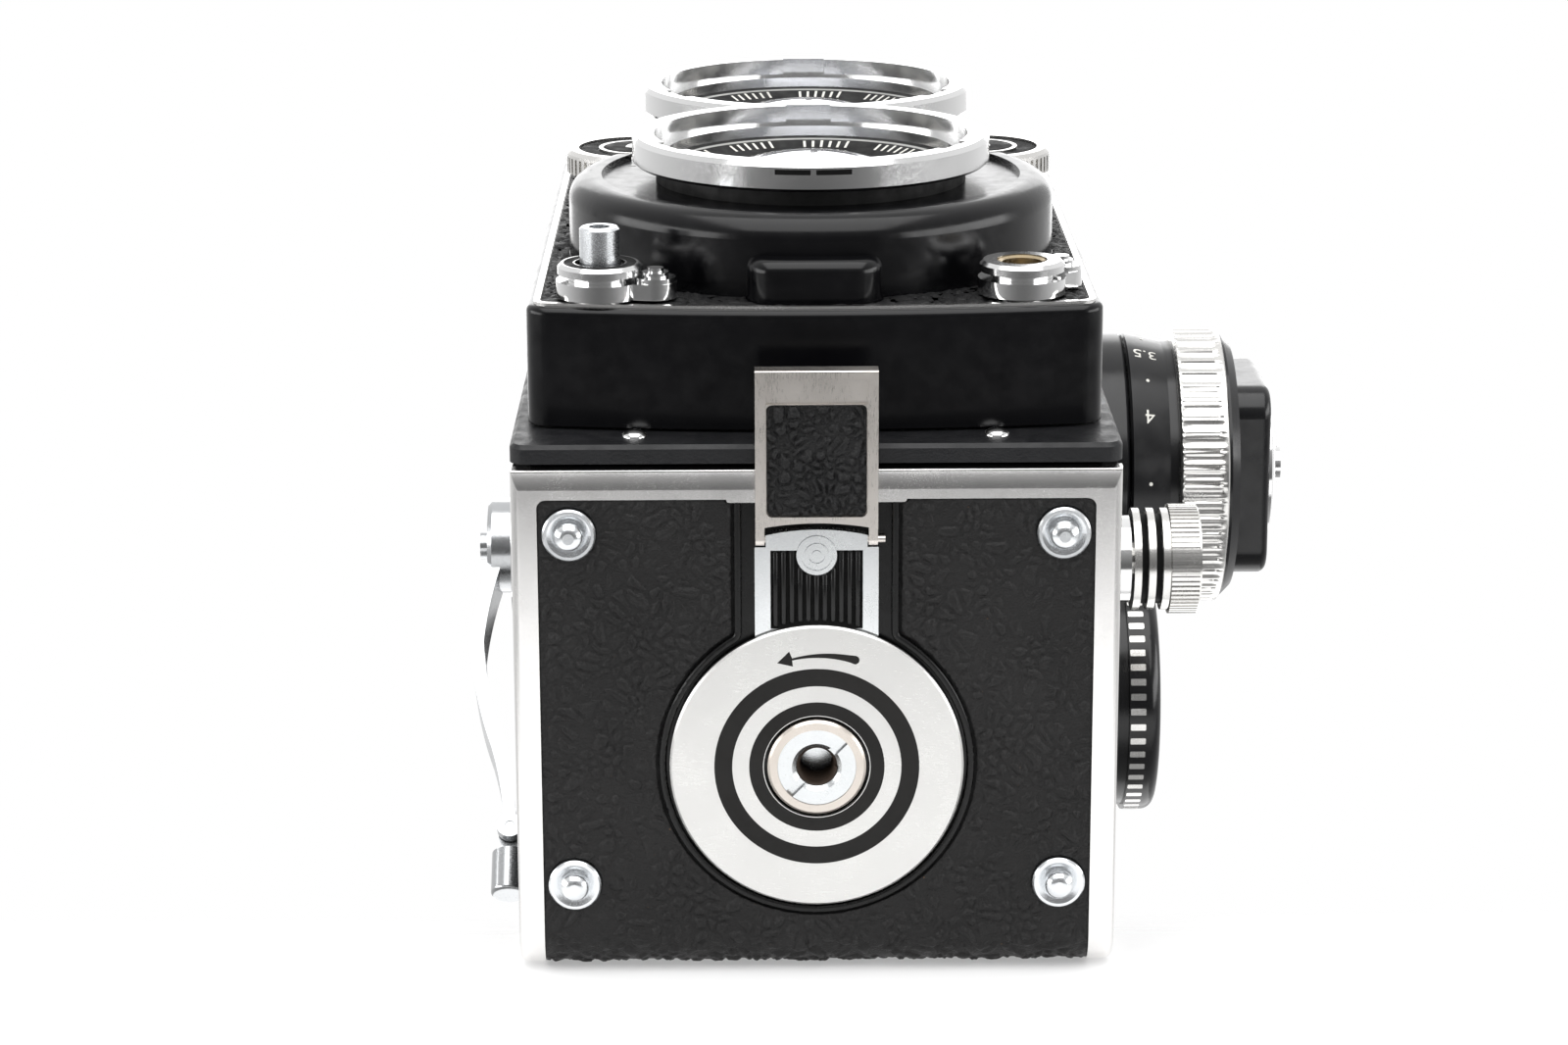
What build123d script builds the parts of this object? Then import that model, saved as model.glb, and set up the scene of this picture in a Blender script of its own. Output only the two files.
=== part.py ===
"""Twin lens reflex camera for 6 x 6 cm roll film, standing on the four feet of its base.

+Z is up through the hood, the lenses look along -Y and the focusing knob is on the +X side.
The origin is on the table plane that the feet touch, under the two lens axes.
"""
from build123d import *
from math import asin, cos, sin
import os

os.makedirs("parts", exist_ok=True)

# ---------------------------------------------------------------- driving dimensions (mm)
body_width = 74.0           # across the body, without knobs
body_depth = 64.6           # the box behind the front flange
foot_height = 2.2           # the feet stand this far below the base leather
deck_z = 120.0              # top of the body box
gap = 0.3                   # clearance between pieces that move past each other
fit = 0.04                  # running clearance of shafts and pins, on the radius

side_x = body_width / 2
rear_y = body_depth / 2
front_y = -rear_y

panel_thick = 1.8
leather_thick = 0.6
skin_x = side_x - leather_thick
inner_x = skin_x - panel_thick

# base and back, which open together as one L-shaped door
door_skin = 0.8             # leather and rails stand this far off the door plates
door_plate = 1.8
rail_width = 3.2
rail_thick = 2.6
bend_radius = 5.0
base_z = foot_height + door_skin
bend_y = rear_y - bend_radius
bend_z = foot_height + bend_radius
door_top_z = 112.8
door_axis_y = 31.2
door_axis_z = 115.0
border_y = 3.6              # front border of the base frame
border_dip = 0.4            # the border is this much wider in front of the latch channel
border_roll = 0.55          # its face falls away by this much towards the front edge
pan_z = 2.8                 # floor of the dial recess

feet_at = [(x, y) for x in (-29.93, 29.93) for y in (-24.4, 20.5)]
foot_r = 3.25

# lock dial, tripod bush, latch
dial_y = 5.03
dial_r = 18.03
dial_face_z = 1.3
dial_thick = 0.8
recess_r = 18.45
channel_half = 9.1
keyhole_fillet = 1.8        # where the channel runs into the round recess
rim_width = 0.95
rim_z = foot_height - 0.15
bush_r = 6.05
insert_r = 4.83
thread_r = 2.55
link_half = 7.5
latch_axis_y = -23.8
latch_axis_z = 1.9
clasp_half = 7.4
clasp_tip_y = -44.95

# front flange and front standard
flange_rear_y = -33.1
flange_front_y = -35.4
shroud_half = 35.2
shroud_rear_y = -35.8
panel_y = -50.5
shroud_wall = 1.6
taking_z = 46.2
viewing_z = 93.5
drum_r = 31.2
drum_face_y = -60.7
ring_r = 23.0
ring_inner_r = 20.2
barrel_r = 20.0
cone_r = 18.4
glass_r = 13.6
dome_rise = 3.4
wheel_x = 23.0
wheel_z = 69.7
wheel_r = 9.6
wheel_face_y = -59.9
release_x, release_z = -26.2, 15.6
release_nub_x, release_nub_z = -19.4, 14.2
sync_x, sync_z = 25.4, 16.2
sync_nub_x, sync_nub_z = 30.5, 20.6

# knobs on the two sides, each (y, z) of its axis
focus_at = (-10.7, 87.2)
focus_r = 19.4
bearing_r = 18.9
film_dial_at = (11.8, 52.2)
film_dial_r = 16.0
supply_at = (-16.2, 19.2)
takeup_at = (14.0, 86.0)
crank_at = (-5.7, 64.2)
crank_to = (26.3, 30.2)

# inside
film_y = 28.3
gate_half = 28.0
mirror_c = 93.0             # the mirror lies on the line z = y + mirror_c
screen_y = viewing_z - mirror_c
spool_r = 12.3
spool_half = 30.9

# hood
hood_half = 35.8
hood_front_y = -28.4
hood_rear_y = 30.5
hood_base_z = 123.5
lid_base_z = 124.0
lid_notch_z = 126.4         # the lid's front wall is cut up to here over the hinge
lid_top_z = 141.0
lid_axis_y = -27.6
lid_axis_z = 125.0
side_flap_x = 33.2
side_flap_z = 126.6
rear_flap_y = 27.4
rear_flap_z = 124.9
flap_thick = 0.8
flap_pin_r = 0.45
lug_thick = 0.7
side_lug_front_y = -25.6
side_lug_rear_y = 27.9
rear_lug_x = 31.5
lid_barrel_r = 0.9
side_flap_height = 28.0
rear_flap_height = 26.0


def front(y):
    """A plane facing the lenses' way at this y: local x is X, local y is Z."""
    return Plane.XZ.offset(-y)


def side(x):
    """A plane facing +X at this x: local x is Y, local y is Z."""
    return Plane.YZ.offset(x)


def level(z):
    """A horizontal plane facing up."""
    return Plane.XY.offset(z)


def save(piece, name):
    """Label a finished piece and write its STEP file."""
    piece.part.label = name
    export_step(piece.part, f"parts/{name}.step")


# ---------------------------------------------------------------- camera body
panel_front_y = flange_rear_y
panel_rear_y = 29.0
panel_base_z = base_z + door_plate + gap

with BuildPart() as right_side_panel:
    with BuildSketch(side(inner_x)):
        with Locations(((panel_front_y + panel_rear_y) / 2, (panel_base_z + deck_z - 1.8) / 2)):
            panel = Rectangle(panel_rear_y - panel_front_y, deck_z - 1.8 - panel_base_z)
        chamfer(panel.vertices().sort_by(Axis.X)[-2:].sort_by(Axis.Y)[0], 2.6)
        with Locations(focus_at):
            Circle(4.0 + fit, mode=Mode.SUBTRACT)
        with Locations(supply_at, takeup_at, film_dial_at):
            Circle(2.0 + fit, mode=Mode.SUBTRACT)
    extrude(amount=panel_thick)
save(right_side_panel, "right_side_panel")

with BuildPart() as left_side_panel:
    with BuildSketch(side(-skin_x)):
        with Locations(((panel_front_y + panel_rear_y) / 2, (panel_base_z + deck_z - 1.8) / 2)):
            panel = Rectangle(panel_rear_y - panel_front_y, deck_z - 1.8 - panel_base_z)
        chamfer(panel.vertices().sort_by(Axis.X)[-2:].sort_by(Axis.Y)[0], 2.6)
        with Locations(crank_at):
            Circle(3.0 + fit, mode=Mode.SUBTRACT)
    extrude(amount=panel_thick)
save(left_side_panel, "left_side_panel")

leather_y = (front_y + 0.4, panel_rear_y - 0.4)
leather_z = (7.0, deck_z - 3.0)
with BuildPart() as side_leathers:
    with BuildSketch(side(skin_x)):
        with Locations((sum(leather_y) / 2, sum(leather_z) / 2)):
            RectangleRounded(leather_y[1] - leather_y[0], leather_z[1] - leather_z[0], 2.0)
        with Locations(focus_at):
            Circle(bearing_r + 0.4, mode=Mode.SUBTRACT)
        with Locations(film_dial_at):
            Circle(film_dial_r - 2.0, mode=Mode.SUBTRACT)
        with Locations(supply_at):
            Circle(5.7, mode=Mode.SUBTRACT)
        with Locations(takeup_at):
            Circle(4.9, mode=Mode.SUBTRACT)
    extrude(amount=leather_thick)
    with BuildSketch(side(-side_x)):
        with Locations((sum(leather_y) / 2, sum(leather_z) / 2)):
            RectangleRounded(leather_y[1] - leather_y[0], leather_z[1] - leather_z[0], 2.0)
        with Locations(crank_at):
            Circle(13.7, mode=Mode.SUBTRACT)
    extrude(amount=leather_thick)
save(side_leathers, "side_leathers")

flange_z = (2.5, deck_z)
with BuildPart() as front_flange:
    with BuildSketch(front(flange_rear_y)):
        with Locations((0, sum(flange_z) / 2)):
            RectangleRounded(body_width, flange_z[1] - flange_z[0], 2.0)
        with Locations((0, taking_z)):
            Circle(21.5, mode=Mode.SUBTRACT)
        with Locations((0, viewing_z)):
            Circle(21.5, mode=Mode.SUBTRACT)
    extrude(amount=flange_rear_y - flange_front_y)
    chamfer(front_flange.faces().sort_by(Axis.Y)[0].outer_wire().edges(), 0.5)
save(front_flange, "front_flange")

screen_opening = 54.0
with BuildPart() as top_deck:
    with BuildSketch(level(deck_z - 1.8)):
        with Locations((0, (flange_rear_y + panel_rear_y) / 2)):
            Rectangle(2 * skin_x, panel_rear_y - flange_rear_y)
    extrude(amount=1.8)
    with BuildSketch(level(door_top_z + 4.2)):
        with Locations((0, (panel_rear_y + rear_y) / 2)):
            Rectangle(2 * skin_x, rear_y - panel_rear_y)
    extrude(amount=deck_z - door_top_z - 4.2)
    with BuildSketch(level(deck_z)):
        with Locations((0, (hood_front_y + hood_rear_y) / 2 - 0.2)):
            RectangleRounded(2 * hood_half - 0.6, hood_rear_y - hood_front_y - 1.0, 4.0)
    extrude(amount=hood_base_z - deck_z)
    fillet(top_deck.faces().sort_by(Axis.Z)[-1].outer_wire().edges(), 0.8)
    with BuildSketch(level(deck_z - 1.8)):
        with Locations((0, screen_y)):
            Rectangle(screen_opening + 2, screen_opening)
    extrude(amount=hood_base_z, mode=Mode.SUBTRACT)
    # lugs that carry the pins of the side flaps
    for lug_y in (side_lug_front_y, side_lug_rear_y):
        with Locations((side_flap_x, lug_y, side_flap_z - 1.4), (-side_flap_x, lug_y, side_flap_z - 1.4)):
            Box(1.6, lug_thick, 4.2)
    with BuildSketch(front(29.8)):
        with Locations((side_flap_x, side_flap_z), (-side_flap_x, side_flap_z)):
            Circle(flap_pin_r + fit)
    extrude(amount=60, mode=Mode.SUBTRACT)
    # lugs of the rear flap
    with Locations((rear_lug_x, rear_flap_y, rear_flap_z - 0.4), (-rear_lug_x, rear_flap_y, rear_flap_z - 0.4)):
        Box(lug_thick, 1.3, 2.2)
    with BuildSketch(side(-rear_lug_x - 1)):
        with Locations((rear_flap_y, rear_flap_z)):
            Circle(flap_pin_r + fit)
    extrude(amount=2 * rear_lug_x + 2, mode=Mode.SUBTRACT)
    # post and pin of the lid hinge
    with BuildSketch(side(-11.7)):
        with Locations((lid_axis_y, lid_axis_z)):
            Circle(lid_barrel_r)
        with Locations((lid_axis_y, (lid_axis_z + hood_base_z) / 2)):
            Rectangle(1.0, lid_axis_z - hood_base_z + 0.4)
    extrude(amount=23.4)
    with BuildSketch(side(-23.8)):
        with Locations((lid_axis_y, lid_axis_z)):
            Circle(flap_pin_r)
    extrude(amount=47.6)
save(top_deck, "top_deck")

with BuildPart() as mirror_box_floor:
    with BuildSketch(level(71.6)):
        with Locations((0, (flange_rear_y + 20.0) / 2)):
            Rectangle(2 * inner_x, 20.0 - flange_rear_y)
    extrude(amount=1.2)
save(mirror_box_floor, "mirror_box_floor")

with BuildPart() as film_chamber_wall:
    with BuildSketch(side(-inner_x)):
        with BuildLine():
            Polyline(
                (flange_rear_y, 31.9),
                (-8.0, 31.9),
                (film_y - 2.0, 16.2),
                (film_y - 2.0, 17.4),
                (-7.7, 33.1),
                (flange_rear_y, 33.1),
                close=True,
            )
        make_face()
    extrude(amount=2 * inner_x)
save(film_chamber_wall, "film_chamber_wall")

with BuildPart() as film_gate:
    with BuildSketch(front(film_y)):
        with Locations((0, 44.0)):
            Rectangle(2 * inner_x, 68.0)
        with Locations((0, taking_z)):
            Rectangle(2 * gate_half, 2 * gate_half, mode=Mode.SUBTRACT)
    extrude(amount=1.8)
    # polished film rails down both sides of the opening
    with BuildSketch(front(film_y + 0.3)):
        with Locations((-30.2, 44.0), (30.2, 44.0)):
            Rectangle(1.6, 68.0)
    extrude(amount=0.3)
save(film_gate, "film_gate")

mirror_plane = Plane(origin=(0, 1.5, 1.5 + mirror_c), x_dir=(1, 0, 0), z_dir=(0, -1, 1))
with BuildPart() as mirror_glass:
    with BuildSketch(mirror_plane):
        Rectangle(2 * inner_x - 4, 58.0)
    extrude(amount=-1.3)
save(mirror_glass, "mirror")

with BuildPart() as focusing_screen:
    with BuildSketch(level(deck_z - 3.2)):
        with Locations((0, screen_y)):
            Rectangle(60, 57)
    extrude(amount=1.4)
save(focusing_screen, "focusing_screen")

knuckle_r = 1.8
with BuildPart() as back_hinge:
    with BuildSketch(side(-30)):
        with Locations((door_axis_y, door_axis_z)):
            Circle(0.9)
    extrude(amount=60)
    for knuckle_x in (-30, 12):
        with BuildSketch(side(knuckle_x)):
            with Locations((door_axis_y, door_axis_z)):
                Circle(knuckle_r)
            with Locations((door_axis_y - 0.6, door_axis_z + 1.0)):
                Rectangle(2.4, 2.0)
        extrude(amount=18)
save(back_hinge, "back_hinge")

with BuildPart() as focus_bearing:
    with BuildSketch(side(side_x - leather_thick)):
        with Locations(focus_at):
            Circle(bearing_r)
            Circle(4.0 + fit, mode=Mode.SUBTRACT)
    extrude(amount=44.4 - skin_x)
    chamfer(focus_bearing.faces().sort_by(Axis.X)[-1].outer_wire().edges(), 0.4)
save(focus_bearing, "focus_bearing")

with BuildPart() as side_bushes:
    with BuildSketch(side(skin_x)):
        with Locations(supply_at):
            Circle(5.5)
            Circle(2.0 + fit, mode=Mode.SUBTRACT)
    extrude(amount=39.4 - skin_x)
    with BuildSketch(side(skin_x)):
        with Locations(takeup_at):
            Circle(4.6)
            Circle(2.0 + fit, mode=Mode.SUBTRACT)
    extrude(amount=39.4 - skin_x)
    with BuildSketch(side(-40.2)):
        with Locations(crank_at):
            Circle(13.4)
            Circle(3.0 + fit, mode=Mode.SUBTRACT)
    extrude(amount=40.2 - skin_x)
    chamfer(side_bushes.faces().sort_by(Axis.X)[0].outer_wire().edges(), 0.8)
save(side_bushes, "side_bushes")

# ---------------------------------------------------------------- film door: base and back in one
plate_half = side_x - rail_width

with BuildPart() as base_plate:
    with BuildSketch(level(base_z)):
        with Locations((0, (front_y + rear_y - bend_radius) / 2)):
            Rectangle(2 * plate_half, rear_y - bend_radius - front_y)
        with Locations((0, dial_y)):
            Circle(bush_r, mode=Mode.SUBTRACT)
    extrude(amount=door_plate)
save(base_plate, "base_plate")

back_face_y = rear_y - door_skin
outer_bend = bend_radius - door_skin
inner_bend = outer_bend - door_plate
with BuildPart() as back_plate:
    with BuildSketch(side(-plate_half)):
        with BuildLine():
            Line((bend_y, base_z), (bend_y, base_z + door_plate))
            RadiusArc((bend_y, base_z + door_plate), (bend_y + inner_bend, bend_z), -inner_bend)
            Line((bend_y + inner_bend, bend_z), (bend_y + inner_bend, door_top_z))
            Line((bend_y + inner_bend, door_top_z), (back_face_y, door_top_z))
            Line((back_face_y, door_top_z), (back_face_y, bend_z))
            RadiusArc((back_face_y, bend_z), (bend_y, base_z), outer_bend)
        make_face()
    extrude(amount=2 * plate_half)
    # the middle knuckle of the back hinge, on a short leaf
    with BuildSketch(side(-11.6)):
        with Locations((door_axis_y, door_axis_z)):
            Circle(knuckle_r)
        with Locations((door_axis_y - 0.5, (door_axis_z + door_top_z) / 2 - 0.6)):
            Rectangle(1.6, door_axis_z - door_top_z + 0.6)
    extrude(amount=23.2)
    with BuildSketch(side(-12)):
        with Locations((door_axis_y, door_axis_z)):
            Circle(0.9 + fit)
    extrude(amount=24, mode=Mode.SUBTRACT)
save(back_plate, "back_plate")

rail_inner = bend_radius - rail_thick
rail_z = foot_height + rail_thick
border_rear_y = front_y + border_y
recess_front_y = border_rear_y + border_dip + 0.05
dip_half = channel_half + rim_width + 0.85
with BuildPart() as door_frame:
    for rail_x in (-side_x, plate_half):
        with BuildSketch(side(rail_x)):
            with BuildLine():
                Line((front_y, foot_height), (front_y, rail_z))
                Line((front_y, rail_z), (bend_y, rail_z))
                RadiusArc((bend_y, rail_z), (bend_y + rail_inner, bend_z), -rail_inner)
                Line((bend_y + rail_inner, bend_z), (bend_y + rail_inner, door_top_z))
                Line((bend_y + rail_inner, door_top_z), (rear_y, door_top_z))
                Line((rear_y, door_top_z), (rear_y, bend_z))
                RadiusArc((rear_y, bend_z), (bend_y, foot_height), bend_radius)
                Line((bend_y, foot_height), (front_y, foot_height))
            make_face()
        extrude(amount=rail_width)
    with BuildSketch(level(foot_height)):
        with Locations((0, front_y + border_y / 2)):
            Rectangle(2 * plate_half, border_y)
        with Locations((0, border_rear_y)):
            RectangleRounded(2 * dip_half, 2 * border_dip, 0.35)
    extrude(amount=door_skin)
    with BuildSketch(front(rear_y)):
        with Locations((0, door_top_z - border_y / 2)):
            Rectangle(2 * plate_half, border_y)
    extrude(amount=door_skin)
    inner_corners = door_frame.edges().filter_by(Axis.Z).filter_by(
        lambda e: abs(abs(e.center().X) - plate_half) < 0.01 and abs(e.center().Y - border_rear_y) < 0.01
    )
    fillet(inner_corners, 1.1)
    outer_edges = (
        door_frame.edges().filter_by(lambda e: abs(abs(e.center().X) - side_x) < 0.01)
        .filter_by(lambda e: e.center().Z < foot_height + 0.1 or e.center().Y > rear_y - bend_radius)
        .filter_by(lambda e: not (e.center().Y < rear_y - 1.2 and e.center().Z > foot_height + 1.5))
    )
    fillet(outer_edges, 1.1)
    # the front border rolls over towards its front edge
    with BuildSketch(side(-side_x)):
        with BuildLine():
            Line((border_rear_y - 0.4, foot_height - 1), (border_rear_y - 0.4, foot_height))
            ThreePointArc(
                (border_rear_y - 0.4, foot_height),
                (front_y + 1.6, foot_height + 0.2 * border_roll),
                (front_y + 0.3, foot_height + border_roll),
            )
            ThreePointArc(
                (front_y + 0.3, foot_height + border_roll),
                (front_y + 0.08, foot_height + border_roll + 0.08),
                (front_y, foot_height + border_roll + 0.2),
            )
            Line((front_y, foot_height + border_roll + 0.2), (front_y - 1, foot_height + border_roll + 0.2))
            Line((front_y - 1, foot_height + border_roll + 0.2), (front_y - 1, foot_height - 1))
            Line((front_y - 1, foot_height - 1), (border_rear_y - 0.4, foot_height - 1))
        make_face()
    extrude(amount=body_width, mode=Mode.SUBTRACT)
save(door_frame, "door_frame")

# outline of the dial recess with its latch channel
with BuildSketch(mode=Mode.PRIVATE) as keyhole:
    with Locations((0, dial_y)):
        Circle(recess_r)
    with Locations((0, (front_y + dial_y) / 2)):
        Rectangle(2 * channel_half, dial_y - front_y)
    fillet(
        keyhole.vertices().filter_by(lambda v: abs(abs(v.X) - channel_half) < 0.01 and v.Y > front_y + 1),
        keyhole_fillet,
    )

leather_front_y = border_rear_y + 0.05
leather_half = plate_half - 0.05
with BuildPart() as door_leather:
    with BuildSketch(level(foot_height)):
        with Locations((0, (leather_front_y + bend_y) / 2)):
            Rectangle(2 * leather_half, bend_y - leather_front_y)
    extrude(amount=door_skin)
    fillet(door_leather.edges().filter_by(Axis.Z).group_by(Axis.Y)[0], 2.7)
    with BuildSketch(side(-leather_half)):
        with BuildLine():
            RadiusArc((bend_y, foot_height), (rear_y, bend_z), -bend_radius)
            Line((rear_y, bend_z), (back_face_y, bend_z))
            RadiusArc((back_face_y, bend_z), (bend_y, base_z), outer_bend)
            Line((bend_y, base_z), (bend_y, foot_height))
        make_face()
    extrude(amount=2 * leather_half)
    with BuildSketch(front(rear_y)):
        with Locations((0, (bend_z + door_top_z - border_y) / 2)):
            Rectangle(2 * leather_half, door_top_z - border_y - bend_z)
    extrude(amount=door_skin)
    with BuildSketch(level(foot_height)):
        offset(keyhole.sketch, amount=rim_width + 0.05)
        with Locations((0, border_rear_y)):
            Rectangle(2 * dip_half + 0.1, 2 * border_dip + 0.1)
        with Locations(feet_at):
            Circle(foot_r + 0.05)
    extrude(amount=door_skin, mode=Mode.SUBTRACT)
save(door_leather, "door_leather")

with BuildPart() as recess_pan:
    # rounded rim that frames the recess
    with BuildSketch(level(rim_z)):
        offset(keyhole.sketch, amount=rim_width)
        add(keyhole.sketch, mode=Mode.SUBTRACT)
        with Locations((0, recess_front_y - border_y)):
            Rectangle(body_width, 2 * border_y, mode=Mode.SUBTRACT)
    extrude(amount=pan_z - rim_z)
    rim_edges = recess_pan.edges().group_by(Axis.Z)[0]
    fillet(rim_edges.filter_by(lambda e: e.center().Y > recess_front_y + 0.1), 0.4)
    with BuildSketch(level(pan_z)):
        offset(keyhole.sketch, amount=rim_width)
        with Locations((0, recess_front_y - border_y)):
            Rectangle(body_width, 2 * border_y, mode=Mode.SUBTRACT)
        with Locations((0, dial_y)):
            Circle(bush_r + 0.02, mode=Mode.SUBTRACT)
    extrude(amount=base_z - pan_z)
save(recess_pan, "recess_pan")

with BuildPart() as foot:
    with BuildSketch(Plane.XZ):
        with BuildLine():
            Polyline((0, base_z), (0, 0), (0.7, 0))
            ThreePointArc((0.7, 0), (1.55, 0.45), (1.85, 1.35))
            Polyline((1.85, 1.35), (2.0, 1.75), (2.7, 1.55), (3.05, 1.55), (foot_r, 1.8), (foot_r, base_z))
            Line((foot_r, base_z), (0, base_z))
        make_face()
    revolve(axis=Axis.Z)

with BuildPart() as feet:
    with Locations(feet_at):
        add(foot.part)
save(feet, "feet")

with BuildPart() as tripod_bush:
    with BuildSketch(level(0.9)):
        with Locations((0, dial_y)):
            Circle(bush_r)
            Circle(insert_r, mode=Mode.SUBTRACT)
    extrude(amount=7.9)
    chamfer(tripod_bush.faces().sort_by(Axis.Z)[0].outer_wire().edges(), 0.3)
save(tripod_bush, "tripod_bush")

with BuildPart() as tripod_insert:
    with BuildSketch(level(1.05)):
        with Locations((0, dial_y)):
            Circle(insert_r - 0.02)
    extrude(amount=7.0)
    with BuildSketch(level(1.05)):
        with Locations((0, dial_y)):
            Circle(thread_r)
    extrude(amount=5.5, mode=Mode.SUBTRACT)
    face_edges = tripod_insert.edges().filter_by(GeomType.CIRCLE).group_by(Axis.Z)[0]
    chamfer(face_edges.sort_by(SortBy.RADIUS)[0], 0.5)
    # screwdriver slot across the face, turned 45 degrees
    with BuildSketch(Plane(origin=(0, dial_y, 1.05), x_dir=(1, -1, 0), z_dir=(0, 0, 1))):
        Rectangle(2 * insert_r, 1.1)
    extrude(amount=0.6, mode=Mode.SUBTRACT)
save(tripod_insert, "tripod_insert")

with BuildPart() as pressure_plate:
    with BuildSketch(front(film_y + 1.2)):
        with Locations((0, taking_z)):
            RectangleRounded(62, 62, 2)
    extrude(amount=0.7)
    with BuildSketch(front(back_face_y - door_plate)):
        with Locations((-20, 25), (20, 25), (-20, 66), (20, 66)):
            Circle(1.5)
    extrude(amount=back_face_y - door_plate - film_y - 0.9)
save(pressure_plate, "pressure_plate")

# ---------------------------------------------------------------- lock dial and latch
with BuildPart() as lock_dial:
    with BuildSketch(level(dial_face_z)):
        with Locations((0, dial_y)):
            Circle(dial_r)
            Circle(bush_r + 0.45, mode=Mode.SUBTRACT)
    extrude(amount=dial_thick)
    chamfer(lock_dial.faces().sort_by(Axis.Z)[0].outer_wire().edges(), 0.25)
save(lock_dial, "lock_dial")

link_top_z = pan_z - 0.1
link_bar_half = 6.15
link_opening_y = -22.6
link_face_z = 1.1
ear_half = 6.3
link_edge_r = dial_r + 0.35
with BuildPart() as latch_link:
    # thin tail that runs under the dial
    with BuildSketch(level(dial_face_z + dial_thick + 0.1)):
        with Locations((0, -17.0)):
            Rectangle(2 * link_half, 12.0)
    extrude(amount=link_top_z - dial_face_z - dial_thick - 0.1)
    # frame that stands level with the dial
    with BuildSketch(level(1.5)):
        with Locations((0, -17.0)):
            Rectangle(2 * link_half, 12.0)
        with Locations((0, dial_y)):
            Circle(link_edge_r, mode=Mode.SUBTRACT)
        with Locations((0, link_opening_y + 6.0)):
            Rectangle(11.2, 12.0, mode=Mode.SUBTRACT)
    extrude(amount=link_top_z - 1.5)
    # arched bar that carries the clasp's pin
    with BuildSketch(level(link_face_z)):
        with BuildLine():
            Line((-link_bar_half, link_opening_y), (-link_bar_half, -24.5))
            ThreePointArc((-link_bar_half, -24.5), (0, -25.2), (link_bar_half, -24.5))
            Line((link_bar_half, -24.5), (link_bar_half, link_opening_y))
            Line((link_bar_half, link_opening_y), (-link_bar_half, link_opening_y))
        make_face()
    extrude(amount=link_top_z - link_face_z)
    with BuildSketch(level(link_face_z)):
        with Locations((ear_half + 0.6, -24.4), (-ear_half - 0.6, -24.4)):
            Rectangle(1.5, 3.0)
    extrude(amount=2, mode=Mode.SUBTRACT)
    # the bar's front corner is rounded off round the pin, clear of the turning clasp
    with BuildSketch(side(-8)):
        with BuildLine():
            Line((latch_axis_y - 3, link_top_z), (latch_axis_y - 1.15, link_top_z))
            Line((latch_axis_y - 1.15, link_top_z), (latch_axis_y - 1.5, latch_axis_z))
            Line((latch_axis_y - 1.5, latch_axis_z), (latch_axis_y - 3, latch_axis_z))
            Line((latch_axis_y - 3, latch_axis_z), (latch_axis_y - 3, link_top_z))
        make_face()
    extrude(amount=16, mode=Mode.SUBTRACT)
    with BuildSketch(level(0.9)):
        with Locations((0, -22.0)):
            Circle(2.45)
    extrude(amount=link_top_z - 0.9)
    with BuildSketch(level(0.9)):
        with Locations((0, -22.0)):
            Circle(1.9)
            Circle(1.5, mode=Mode.SUBTRACT)
            Circle(1.0)
            Circle(0.6, mode=Mode.SUBTRACT)
    extrude(amount=0.15, mode=Mode.SUBTRACT)
    with BuildSketch(side(-8)):
        with Locations((latch_axis_y, latch_axis_z)):
            Circle(0.45 + fit)
    extrude(amount=16, mode=Mode.SUBTRACT)
save(latch_link, "latch_link")

rib_count = 11
with BuildPart() as link_ribs:
    with BuildSketch(level(2.0)):
        with Locations((0, link_opening_y + 5.6)):
            Rectangle(11.1, 11.1)
        with Locations((0, dial_y)):
            Circle(link_edge_r, mode=Mode.SUBTRACT)
        with Locations((0, -22.0)):
            Circle(2.5, mode=Mode.SUBTRACT)
    extrude(amount=0.2)
    with BuildSketch(level(1.7)):
        with Locations((0, link_opening_y + 5.6)):
            with GridLocations(11.1 / rib_count, 1, rib_count, 1):
                Rectangle(0.4, 10.8)
        with Locations((0, dial_y)):
            Circle(link_edge_r, mode=Mode.SUBTRACT)
        with Locations((0, -22.0)):
            Circle(2.5, mode=Mode.SUBTRACT)
    extrude(amount=0.3)
save(link_ribs, "link_ribs")

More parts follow.
